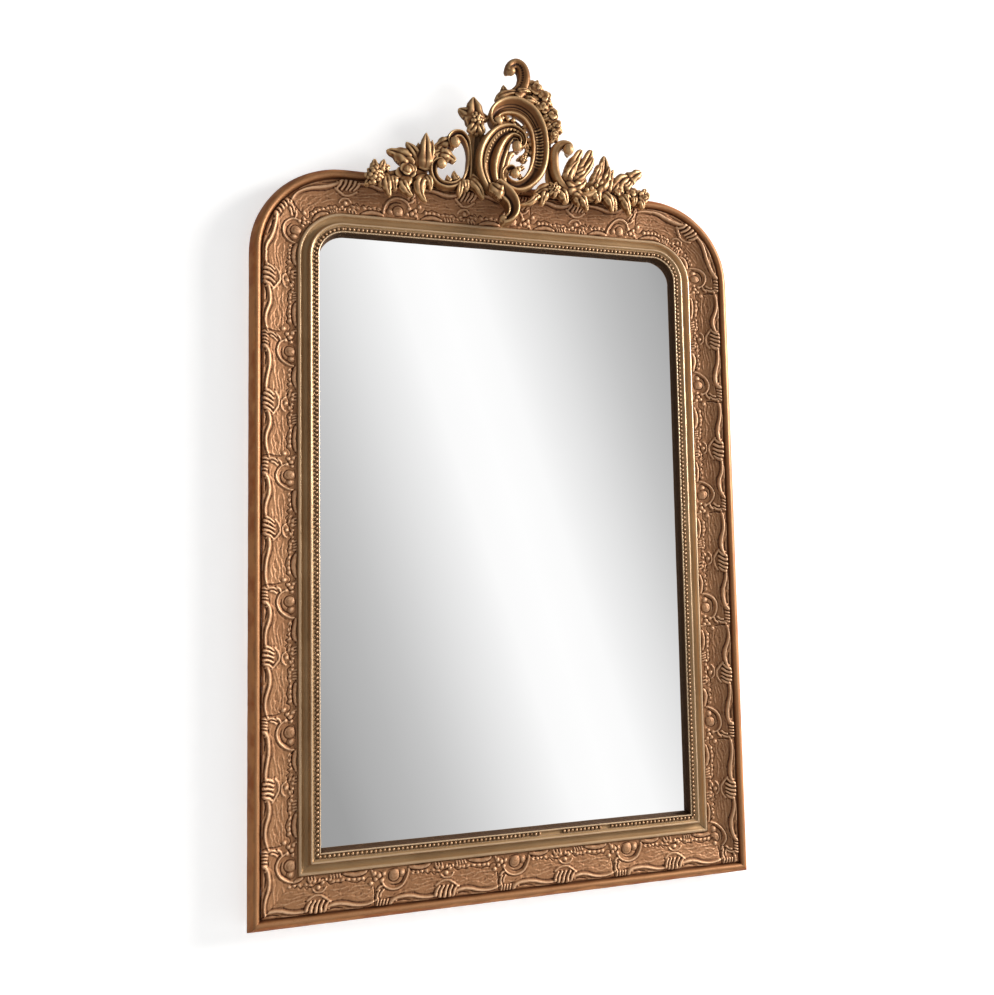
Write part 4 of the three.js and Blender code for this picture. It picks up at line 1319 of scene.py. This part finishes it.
TONGUE_SECTION = profile(
    (-1, 0.5), (-0.93, 0.78), (-0.8, 0.9), (-0.62, 0.86), (-0.4, 0.78), (-0.15, 0.8), (0.1, 0.9), (0.34, 1.0),
    (0.6, 1.04), (0.82, 0.94), (0.94, 0.72), (1, 0.42),
)
INNER_FRONT = 72
BEAD_PITCH = 6.4


def bead_row(path, across, first, last, height, radius, pitch):
    """Beads along a scroll, at a share of its half width."""
    line = smooth_path(path, 1.0)
    reach = along_path(line)
    parts = []
    direction = np.gradient(line[:, :2], axis=0)
    direction /= np.linalg.norm(direction, axis=1)[:, None]
    for distance in np.arange(reach[-1] * first, reach[-1] * last, pitch):
        x, z, width = (np.interp(distance, reach, line[:, i]) for i in range(3))
        dx, dz = (np.interp(distance, reach, direction[:, i]) for i in range(2))
        parts.append(berry(x - dz * across * width / 2, z + dx * across * width / 2, height, radius))
    return parts


crest_piece("crest_inner_scroll", [
    scroll(INNER_SCROLL, INNER_FRONT, section=INNER_SECTION, start_rise=3.0, end_rise=-8.0),
    scroll(TONGUE, INNER_FRONT + 3.5, section=TONGUE_SECTION, end_rise=-5.0),
    leaf(-10, 664, -38, 680, 26, 0.2, INNER_FRONT + 3, lobes=1, droop=6, blunt=0.7),
    leaf(-40, 692, -58, 677, 11, -0.15, INNER_FRONT - 12, lobes=1),
    scroll([(14, 752, 11), (4, 745, 15), (-5, 725, 19), (-9, 701, 19), (-12, 682, 15)], 61, section=PLAIN),
    berry(17, 760, 66, 10.5),
    berry(-12, 612, 62, 8.0),
    *bead_row(INNER_SCROLL, -0.27, 0.2, 0.72, 65.6, 2.6, BEAD_PITCH),
])

# %% [markdown]
# ## The big C scroll
# Round the inner scroll goes a large C. It starts in a curl at the upper left, runs over the top,
# down the right side and round the bottom, and ends in a small curl inside. Its hollow is deep
# and finely fluted at the top. Down the right side the hollow is filled with a row of teeth.

# %% Carve the big scroll
BIG_SCROLL = [
    (-16, 808, 11), (-25, 807, 17), (-28, 818, 22), (-22, 832, 27), (-2, 845, 36), (24, 847, 42), (48, 834, 42),
    (64, 807, 39), (69, 777, 37), (68, 749, 37), (61, 721, 35), (50, 703, 31), (34, 688, 27), (16, 682, 25),
    (-2, 689, 22), (-8, 702, 18), (-3, 713, 16), (7, 717, 14), (15, 711, 12),
]
BIG_SECTION = profile(
    (-1, 0.42), (-0.95, 0.64), (-0.86, 0.77), (-0.76, 0.79), (-0.64, 0.72), (-0.5, 0.62), (-0.3, 0.56),
    (-0.08, 0.56), (0.12, 0.64), (0.28, 0.78), (0.42, 0.92), (0.58, 1.0), (0.74, 0.98), (0.88, 0.84),
    (0.96, 0.64), (1, 0.4),
)
BIG_FRONT = 66


def flutes_and_teeth(across, distance, width, share):
    """Fine flutes in the hollow at the top, and slanting teeth down the right side."""
    inside = between(0.42 - np.abs(across + 0.12), 0, 0.12)
    top = between(share, 0.08, 0.14) * between(0.42 - share, 0, 0.05)
    side = between(share, 0.38, 0.43) * between(0.66 - share, 0, 0.05)
    flutes = 0.55 * np.cos(across * 26)
    teeth = 2.2 * between(np.cos(distance * 2 * math.pi / 6.5 + across * 1.2 + np.sin(distance / 9)), -0.2, 0.8)
    return inside * (top * flutes + side * (teeth + 1.2))


crest_piece("crest_big_scroll", [
    scroll(BIG_SCROLL, BIG_FRONT, section=BIG_SECTION, start_rise=3.0, end_rise=3.0, dish=flutes_and_teeth),
    berry(-20, 809, 64, 9.0),
    berry(13, 706, 62, 9.5),
    berry(20, 716, 60, 6.5),
    *cluster(24, 704, 7, 60, 7),
])

# %% [markdown]
# ## Plume, roses and the flower on the left
# A plume rises from the C and hooks over at the very top. Roses climb down its right side on a
# leafy stem, and on the left stands a stiff three-pointed leaf over a small flower.

# %% Carve plume, roses and left flower
PLUME = [
    (16, 866, 36), (29, 880, 32), (36, 896, 29), (38, 914, 27), (33, 929, 25), (22, 935, 24), (12, 931, 22),
    (7, 922, 19), (8, 915, 14),
]
PLUME_SECTION = profile(
    (-1, 0.35), (-0.9, 0.66), (-0.62, 0.92), (-0.25, 1.0), (0.1, 0.95), (0.34, 0.86), (0.52, 0.84), (0.7, 0.82),
    (0.86, 0.7), (1, 0.35),
)


def knobs(across, distance, width, share):
    return 0.35 * np.cos(distance * 2 * math.pi / 5.5) * between(np.abs(across - 0.38), 0.3, 0.1)


crest_piece("crest_plume", [
    scroll(PLUME, 66, section=PLUME_SECTION, end_rise=1.0, dish=knobs),
    berry(9, 919, 57, 10.0),
    leaf(2, 864, -6, 889, 15, 0.08, 61, lobes=1),
    leaf(-22, 858, 36, 874, 14, 0.1, 64, lobes=1),
    leaf(18, 872, 50, 878, 12, 0.1, 67, lobes=1),
    leaf(34, 862, 66, 856, 14, 0.06, 66, lobes=2),
], tone=0.14)

ROSE_STEM = [(44, 882, 26), (62, 862, 32), (78, 838, 30), (89, 812, 24), (94, 784, 12)]
ROSES = [(59, 889, 15), (75, 872, 18), (75, 850, 14), (94, 834, 14), (101, 814, 12), (97, 796, 9)]
rose_parts = [scroll(ROSE_STEM, 56, section=PLAIN)]
for number, (x, z, radius) in enumerate(ROSES):
    rose_parts += rose(x, z, radius, 69, 5, number * 0.7)
for x, z, tip_x, tip_z in (
    (58, 880, 42, 898), (64, 884, 66, 907), (80, 864, 96, 854), (70, 860, 57, 848), (84, 842, 107, 846),
    (88, 836, 72, 826), (92, 820, 80, 806), (96, 800, 91, 780), (100, 812, 116, 803), (96, 798, 104, 784),
):
    rose_parts.append(leaf(x, z, tip_x, tip_z, 14, 0.1, 63, lobes=2, droop=3, blunt=0.4))
crest_piece("crest_rose_spray", rose_parts)

crest_piece("crest_left_flower", [
    leaf(-64, 796, -68, 856, 38, 0.0, 63, lobes=1, droop=5),
    leaf(-54, 802, -99, 829, 30, -0.06, 61, lobes=1, droop=5),
    leaf(-70, 806, -36, 818, 26, 0.05, 61, lobes=1),
    leaf(-64, 808, -78, 783, 21, 0.08, 62, lobes=1, blunt=1.0),
    leaf(-60, 808, -48, 783, 21, -0.08, 62, lobes=1, blunt=1.0),
    leaf(-62, 800, -63, 780, 17, 0.0, 59, lobes=1, blunt=1.0),
    *cluster(-63, 811, 14, 67, 16),
])

# %% [markdown]
# ## The side scrolls and the sprays
# On either side a smaller scroll turns outwards, and behind the scrolls lies a thin ground that
# holds them together. Acanthus leaves and roses trail from the scrolls over the top rail.

# %% Carve the side scrolls
LEFT_ARCH = [
    (-104, 752, 10), (-112, 754, 14), (-114, 766, 17), (-106, 776, 18), (-93, 777, 18), (-84, 768, 16),
    (-79, 753, 13), (-77, 735, 12), (-78, 715, 13), (-81, 697, 16), (-86, 680, 20), (-89, 666, 15),
]
LEFT_HOOK = [
    (-128, 710, 9), (-134, 719, 13), (-145, 714, 15), (-149, 700, 16), (-146, 686, 16), (-137, 676, 16),
    (-122, 672, 15), (-106, 676, 13), (-93, 687, 12),
]
LEFT_WEB = [(-50, 812, 18), (-66, 790, 14), (-70, 764, 12), (-70, 735, 12), (-68, 708, 14), (-60, 688, 16)]
RIGHT_ARCH = [
    (125, 763, 11), (132, 769, 15), (130, 779, 17), (118, 781, 19), (106, 774, 20), (99, 760, 21), (98, 740, 21),
    (101, 719, 20), (109, 701, 18), (122, 688, 17), (142, 680, 16), (165, 680, 16), (186, 690, 16),
]
RIGHT_WEB = [(93, 790, 8), (91, 760, 10), (90, 730, 14), (92, 706, 20), (100, 696, 20)]
SIDE_FRONT = 62
WEB_FRONT = 47

crest_piece("crest_left_scroll", [
    scroll(LEFT_ARCH, SIDE_FRONT, start_rise=2.0),
    scroll(LEFT_HOOK, SIDE_FRONT, start_rise=2.0),
    scroll(LEFT_WEB, WEB_FRONT, section=PLAIN),
    berry(-107, 757, 60, 10.5),
    berry(-134, 711, 60, 9.5),
    leaf(-82, 694, -58, 676, 13, 0.18, 60, lobes=1),
    leaf(-84, 690, -50, 650, 19, 0.1, 62, lobes=1),
    leaf(-87, 688, -84, 664, 15, 0.0, 62, lobes=1, blunt=0.7),
    leaf(-92, 686, -98, 650, 15, -0.06, 60, lobes=1),
    leaf(-142, 734, -104, 722, 22, 0.1, 59, lobes=2, blunt=0.9),
    leaf(-152, 728, -124, 738, 15, 0.1, 57, lobes=1, blunt=0.6),
    leaf(-112, 762, -146, 746, 20, -0.06, 58, lobes=2, blunt=0.6),
    leaf(-124, 750, -150, 730, 16, 0.0, 56, lobes=2, blunt=0.6),
    leaf(-98, 684, -108, 704, 12, 0.2, 59, lobes=1),
    leaf(-112, 680, -122, 694, 10, 0.2, 58, lobes=1),
])

crest_piece("crest_right_scroll", [
    scroll(RIGHT_ARCH, SIDE_FRONT, section=PLAIN, start_rise=2.0),
    scroll(RIGHT_WEB, WEB_FRONT, section=PLAIN),
    berry(126, 767, 63, 11.0),
    leaf(124, 700, 158, 774, 24, 0.05, 60, lobes=2, droop=2, blunt=0.9),
    leaf(128, 698, 180, 777, 25, -0.04, 58, lobes=2, droop=2, blunt=1.0),
    leaf(130, 700, 182, 760, 20, -0.08, 60, lobes=1, droop=2, blunt=0.9),
    leaf(122, 702, 148, 746, 20, 0.1, 63, lobes=2, droop=2, blunt=0.5),
    leaf(112, 690, 165, 714, 24, -0.16, 62, lobes=3, blunt=0.8),
    leaf(134, 716, 172, 748, 16, -0.1, 61, lobes=2, blunt=0.5),
    leaf(100, 690, 50, 668, 19, -0.1, 59, lobes=2, blunt=0.3),
    leaf(84, 684, 71, 650, 17, -0.1, 59, lobes=2, blunt=0.4),
    leaf(62, 674, 50, 658, 14, 0.1, 60, lobes=1, blunt=0.5),
    leaf(60, 678, 24, 648, 12, 0.2, 60, lobes=2),
    leaf(104, 690, 123, 658, 20, 0.1, 60, lobes=2, blunt=0.6),
    leaf(128, 688, 167, 646, 20, 0.16, 61, lobes=3),
    leaf(136, 680, 150, 656, 13, 0.1, 59, lobes=2),
    *cluster(95, 684, 8, 66, 7),
    *[leaf(95, 684, 95 + 17 * math.cos(a), 684 + 17 * math.sin(a), 11, 0.05, 63, lobes=1) for a in np.arange(7) * 0.9 + 0.3],
])

# %% Carve the sprays
LEFT_STEM = [(-265, 676, 26), (-240, 680, 20), (-205, 688, 26), (-180, 690, 24), (-160, 690, 20)]
RIGHT_STEM = [(190, 688, 26), (215, 688, 30), (240, 690, 28), (265, 688, 24), (290, 684, 22)]
SPRAY_FRONT = 60

crest_piece("crest_left_spray", [
    scroll(LEFT_STEM, SPRAY_FRONT - 7, section=PLAIN),
    leaf(-166, 696, -163, 772, 27, 0.0, 62, lobes=1, droop=3),
    leaf(-162, 700, -151, 760, 16, -0.05, 59, lobes=1, droop=2),
    leaf(-170, 700, -178, 752, 17, 0.06, 58, lobes=1, droop=2),
    leaf(-158, 702, -142, 752, 14, -0.1, 56, lobes=2, droop=2, blunt=0.5),
    leaf(-172, 704, -203, 750, 24, -0.08, 58, lobes=1, droop=2),
    leaf(-188, 706, -241, 729, 29, -0.1, 58, lobes=2, droop=2),
    *rose(-201, 694, 22, 64, 6, 0.4, 5.0),
    leaf(-260, 684, -262, 711, 17, 0.05, 58, lobes=2, blunt=0.4),
    leaf(-254, 686, -244, 712, 15, -0.05, 58, lobes=1, blunt=0.4),
    *cluster(-264, 677, 19, 64, 22),
    leaf(-244, 690, -232, 700, 14, 0.1, 57, lobes=1),
    leaf(-240, 684, -233, 639, 19, -0.06, 60, lobes=2),
    leaf(-246, 676, -250, 656, 16, -0.06, 60, lobes=1, blunt=0.6),
    leaf(-226, 682, -222, 652, 17, -0.08, 60, lobes=2, blunt=0.3),
    leaf(-212, 678, -190, 644, 18, -0.12, 60, lobes=2),
    leaf(-200, 676, -204, 658, 14, 0.1, 59, lobes=1, blunt=0.6),
    leaf(-164, 690, -163, 634, 20, -0.24, 60, lobes=2),
    leaf(-166, 690, -155, 658, 15, 0.12, 59, lobes=2),
    leaf(-176, 686, -178, 664, 14, 0.0, 58, lobes=1, blunt=0.5),
    leaf(-270, 672, -282, 660, 13, 0.1, 56, lobes=1),
])

crest_piece("crest_right_spray", [
    scroll(RIGHT_STEM, SPRAY_FRONT - 7, section=PLAIN),
    leaf(160, 678, 206, 768, 36, -0.17, 59, lobes=2, droop=3, blunt=0.3),
    leaf(170, 690, 191, 746, 20, -0.1, 62, lobes=2, droop=2, blunt=0.6),
    leaf(186, 690, 216, 744, 22, -0.1, 62, lobes=3, droop=2),
    leaf(176, 700, 200, 752, 16, 0.0, 63, lobes=3, droop=2),
    *[berry(x, z, 63, 4.2) for x, z in ((164, 688), (174, 692), (184, 699))],
    leaf(208, 686, 226, 740, 22, 0.04, 59, lobes=2, droop=2),
    leaf(218, 690, 240, 728, 18, -0.04, 58, lobes=2, droop=2),
    leaf(228, 692, 262, 728, 30, 0.16, 58, lobes=1, droop=2, blunt=0.8),
    leaf(256, 720, 288, 742, 25, 0.0, 58, lobes=1, blunt=1.0, droop=2),
    leaf(246, 700, 266, 722, 16, -0.1, 60, lobes=1, blunt=0.5),
    *rose(288, 688, 17, 63, 5, 0.1),
    *rose(266, 694, 12, 61, 5, 0.7),
    *rose(236, 694, 12, 61, 5, 0.5),
    leaf(184, 692, 193, 668, 19, 0.0, 61, lobes=2, blunt=0.9),
    leaf(196, 690, 221, 649, 18, 0.16, 61, lobes=2),
    leaf(212, 686, 231, 653, 14, 0.08, 59, lobes=2),
    leaf(238, 690, 259, 645, 17, 0.08, 61, lobes=2),
    leaf(250, 692, 254, 672, 15, 0.0, 60, lobes=1, blunt=0.5),
    leaf(270, 688, 272, 670, 14, 0.0, 58, lobes=1, blunt=0.4),
    leaf(284, 684, 292, 664, 15, 0.0, 58, lobes=1, blunt=0.3),
    leaf(290, 692, 298, 708, 13, 0.0, 58, lobes=1, blunt=0.3),
])

# %% [markdown]
# ## The pierced lattice
# Between the two scrolls hangs a rough fringe of small leaves and knobs, pierced right through,
# so that the wall shows behind it.

# %% Carve the lattice
LATTICE_ARC = [
    (-22, 822, 12), (0, 819, 16), (20, 814, 17), (35, 800, 15), (43, 782, 13), (46, 762, 14), (36, 748, 12),
]
LATTICE_SPIKES = [
    (18, 814, 16, 832, 8), (34, 802, 46, 818, 8), (44, 776, 57, 782, 7), (44, 760, 57, 752, 8),
    (36, 750, 20, 742, 9), (38, 750, 34, 735, 8), (8, 816, -2, 834, 8), (28, 808, 30, 790, 8), (38, 790, 28, 780, 7),
]
lattice_parts = [scroll(LATTICE_ARC, 50, section=PLAIN)]
for x, z, tip_x, tip_z, width in LATTICE_SPIKES:
    lattice_parts.append(leaf(x, z, tip_x, tip_z, width, 0.08, 53, lobes=2, droop=1))
for x, z, width in smooth_path(LATTICE_ARC, 9):
    side = 1 if int(x + z) % 2 else -1
    lattice_parts.append(berry(x + side * width * 0.22, z + side * width * 0.16, 51, 4.2))
lattice_parts += cluster(34, 742, 10, 57, 10) + cluster(30, 724, 7, 56, 8) + cluster(42, 768, 7, 56, 8)
crest_piece("crest_lattice", lattice_parts)

# %% [markdown]
# ## The back of the mirror
# The back is plain joinery. Four thin boards lie in the rebate behind the glass, held by small
# nails. Two iron plates carry loose rings for the wall hooks, and a wooden bracket with two bent
# straps holds the crest upright. These keep their construction shapes where those are right,
# and get boards with eased edges, nails and round rings where they aren't.

# %% Wood and iron
paint(SOFTWOOD, *[f"{run}_core" for run in RUNS if not run.endswith("stile")])
paint(STILE_WOOD, "left_stile_core", "right_stile_core", "crest_bracket")
IRON_NODES = [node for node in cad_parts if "strap" in node or "screw" in node or "hanger_plate" in node]
paint(IRON, *IRON_NODES)
print("painted:", len(IRON_NODES), "iron fittings")


# %% Back boards with eased edges
def eased_board(node):
    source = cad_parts[node]
    mesh = source.data.copy()
    piece = bpy.data.objects.new(f"{node}_planed", mesh)
    bpy.context.scene.collection.objects.link(piece)
    outward(piece)
    edit(piece)
    bpy.ops.mesh.select_all(action="SELECT")
    bpy.ops.mesh.dissolve_limited(angle_limit=math.radians(1))
    object_mode()
    bevel = piece.modifiers.new("eased edges", "BEVEL")
    bevel.width = 1.2 * MM
    bevel.segments = 2
    bevel.limit_method = "ANGLE"
    apply_all(piece)
    smooth(piece, 40)
    return finished(piece, "frame", "softwood", BOARD_WOOD, node)


for number in range(1, 5):
    board = eased_board(f"back_board_{number}")
    print(board.name, len(board.data.polygons), "faces")

# %% Nails that hold the boards
NAIL_PITCH = 142
NAIL_OUT = 13


def nails():
    deselect()
    bpy.ops.mesh.primitive_cylinder_add(vertices=8, radius=1, depth=1)
    nail = named("nail")
    edit(nail, "FACE")
    bpy.ops.mesh.select_all(action="SELECT")
    bpy.ops.mesh.bevel(offset=0.12, segments=1)
    object_mode()
    table = points_of(nail) * (1.1, 1.1, 9.0)
    faces = [face.vertices[:] for face in nail.data.polygons]
    bpy.data.objects.remove(nail)
    places = []
    for z in np.arange(-HALF_HEIGHT + 40, CORNER_Z, NAIL_PITCH):
        for side in (-1, 1):
            places.append((side * (HALF_WIDTH + NAIL_OUT - 4), z, side))
    where = [spots(x, z, 4.5) for x, z, _ in places]
    lying = [table[:, [2, 1, 0]] * (side, 1, 1) for _, _, side in places]
    tables = [one * MM + place for one, place in zip(lying, where)]
    return tables, faces


nail_tables, nail_faces = nails()
count = len(nail_tables[0])
nail_mesh = bpy.data.meshes.new("board_nails")
nail_mesh.from_pydata(
    np.vstack(nail_tables).tolist(),
    [],
    [tuple(c + i * count for c in face) for i in range(len(nail_tables)) for face in nail_faces],
)
board_nails = bpy.data.objects.new("board_nails", nail_mesh)
bpy.context.scene.collection.objects.link(board_nails)
outward(board_nails)
smooth(board_nails, 40)
finished(board_nails, "frame", "iron", IRON)
print("nails:", len(nail_tables))

# %% Round rings
PIVOT_DEPTH = 6
RING_RADIUS = 16
RING_WIRE = 2.5
HANGER_X = 270

for side, hand in ((-1, "left"), (1, "right")):
    deselect()
    bpy.ops.mesh.primitive_torus_add(
        major_radius=RING_RADIUS * MM, minor_radius=RING_WIRE * MM, major_segments=72, minor_segments=18,
        rotation=(math.radians(90), 0, 0), location=(side * HANGER_X * MM, PIVOT_DEPTH * MM, -RING_RADIUS * MM),
    )
    ring = named(f"{hand}_hanger_ring_wire")
    smooth(ring, 80)
    finished(ring, f"{hand}_ring", "iron", IRON, f"{hand}_hanger_ring")
    print(ring.name, len(ring.data.polygons), "faces")

# %% [markdown]
# ## Wall, floor and light
# The mirror hangs on a white wall, seen only by the camera, so that it throws no light of its
# own on the gilding but keeps the mirror's soft shadow. From behind, the wall isn't there. The
# light is a large soft lamp from the upper right, with a faint fill. The room that the glass
# reflects is a pale sky with its bright part straight ahead of the mirror; the metal sees an even grey.

# %% Wall and floor
WALL_BEHIND = 11.5
FLOOR_Z = -2.3


def build_wall():
    deselect()
    bpy.ops.mesh.primitive_plane_add(size=9, rotation=(math.radians(90), 0, 0), location=(0, WALL_BEHIND * MM, -0.6))
    wall = named("wall")
    for ray in ("visible_diffuse", "visible_glossy", "visible_transmission", "visible_shadow"):
        setattr(wall, ray, False)
    material = bpy.data.materials.new("white wall")
    material.use_nodes = True
    tree = material.node_tree
    tree.nodes.clear()
    paper = add_node(tree, "ShaderNodeBsdfDiffuse", Color=(0.8, 0.8, 0.8, 1))
    lift = add_node(tree, "ShaderNodeEmission", Color=(1, 1, 1, 1), Strength=0.54)
    lit = add_node(tree, "ShaderNodeAddShader", i0=paper.outputs[0], i1=lift.outputs[0])
    behind = add_node(tree, "ShaderNodeNewGeometry").outputs["Backfacing"]
    clear = add_node(tree, "ShaderNodeBsdfTransparent")
    choice = add_node(tree, "ShaderNodeMixShader", i0=behind, i1=lit.outputs[0], i2=clear.outputs[0])
    add_node(tree, "ShaderNodeOutputMaterial", Surface=choice.outputs[0])
    wall.data.materials.append(material)


def build_floor():
    deselect()
    bpy.ops.mesh.primitive_plane_add(size=12, location=(0, 0, FLOOR_Z))
    floor = named("floor")
    material, tree, shader = new_material("pale floor")
    shader.inputs["Base Color"].default_value = (0.85, 0.85, 0.85, 1)
    shader.inputs["Roughness"].default_value = 0.9
    floor.data.materials.append(material)
    floor.visible_glossy = False


build_wall()
build_floor()


# %% Lamps
def lamp(name, place, aim, size, watts, colour=(1, 1, 1)):
    data = bpy.data.lights.new(name, "AREA")
    data.shape = "DISK"
    data.size = size
    data.energy = watts
    data.color = colour
    light = bpy.data.objects.new(name, data)
    bpy.context.scene.collection.objects.link(light)
    light.location = place
    light.rotation_euler = (Vector(aim) - Vector(place)).to_track_quat("-Z", "Y").to_euler()
    return light


MIDDLE = (0, 0, -0.6)
lamp("key", (4.5, -1.7, 0.8), MIDDLE, 2.2, 400, (1.0, 0.985, 0.96))
lamp("fill", (-1.8, -2.8, -0.9), MIDDLE, 2.0, 5)
lamp("rear", (1.2, 2.6, 0.6), MIDDLE, 1.6, 40)


# %% The room that the mirror sees
BRIGHT_STOPS = [
    (0.0, 1.0), (0.05, 0.97), (0.085, 0.87), (0.125, 0.77), (0.165, 0.66), (0.2, 0.57), (0.24, 0.49), (0.28, 0.43),
    (0.32, 0.35), (0.6, 0.24),
]


def build_world():
    world = bpy.data.worlds.new("white room")
    bpy.context.scene.world = world
    world.use_nodes = True
    tree = world.node_tree
    tree.nodes.clear()
    way = add_node(tree, "ShaderNodeTexCoord").outputs["Generated"]
    split = add_node(tree, "ShaderNodeSeparateXYZ", Vector=way)
    ahead = arithmetic(tree, "MAXIMUM", arithmetic(tree, "MULTIPLY", split.outputs["Y"], -1), 0.02)
    side = arithmetic(tree, "DIVIDE", split.outputs["X"], ahead)
    rise = arithmetic(tree, "DIVIDE", split.outputs["Z"], ahead)
    slant = arithmetic(tree, "MULTIPLY_ADD", rise, 0.33, side)
    away = arithmetic(tree, "ABSOLUTE", arithmetic(tree, "SUBTRACT", slant, 0.3176))
    ramp = add_node(tree, "ShaderNodeValToRGB", Fac=away)
    stops = ramp.color_ramp.elements
    for place, value in BRIGHT_STOPS[1:-1]:
        stops.new(place)
    for stop, (place, value) in zip(stops, BRIGHT_STOPS):
        stop.position = place
        stop.color = (value, value, value, 1)
    path = add_node(tree, "ShaderNodeLightPath")
    soft = mix_colours(tree, path.outputs["Is Singular Ray"], (0.25, 0.25, 0.25, 1), ramp.outputs[0])
    seen = mix_colours(tree, path.outputs["Is Camera Ray"], soft, (1, 1, 1, 1))
    sky = add_node(tree, "ShaderNodeBackground", Color=seen, Strength=1.0)
    add_node(tree, "ShaderNodeOutputWorld", Surface=sky.outputs[0])


build_world()
bpy.context.scene.view_settings.view_transform = "Standard"
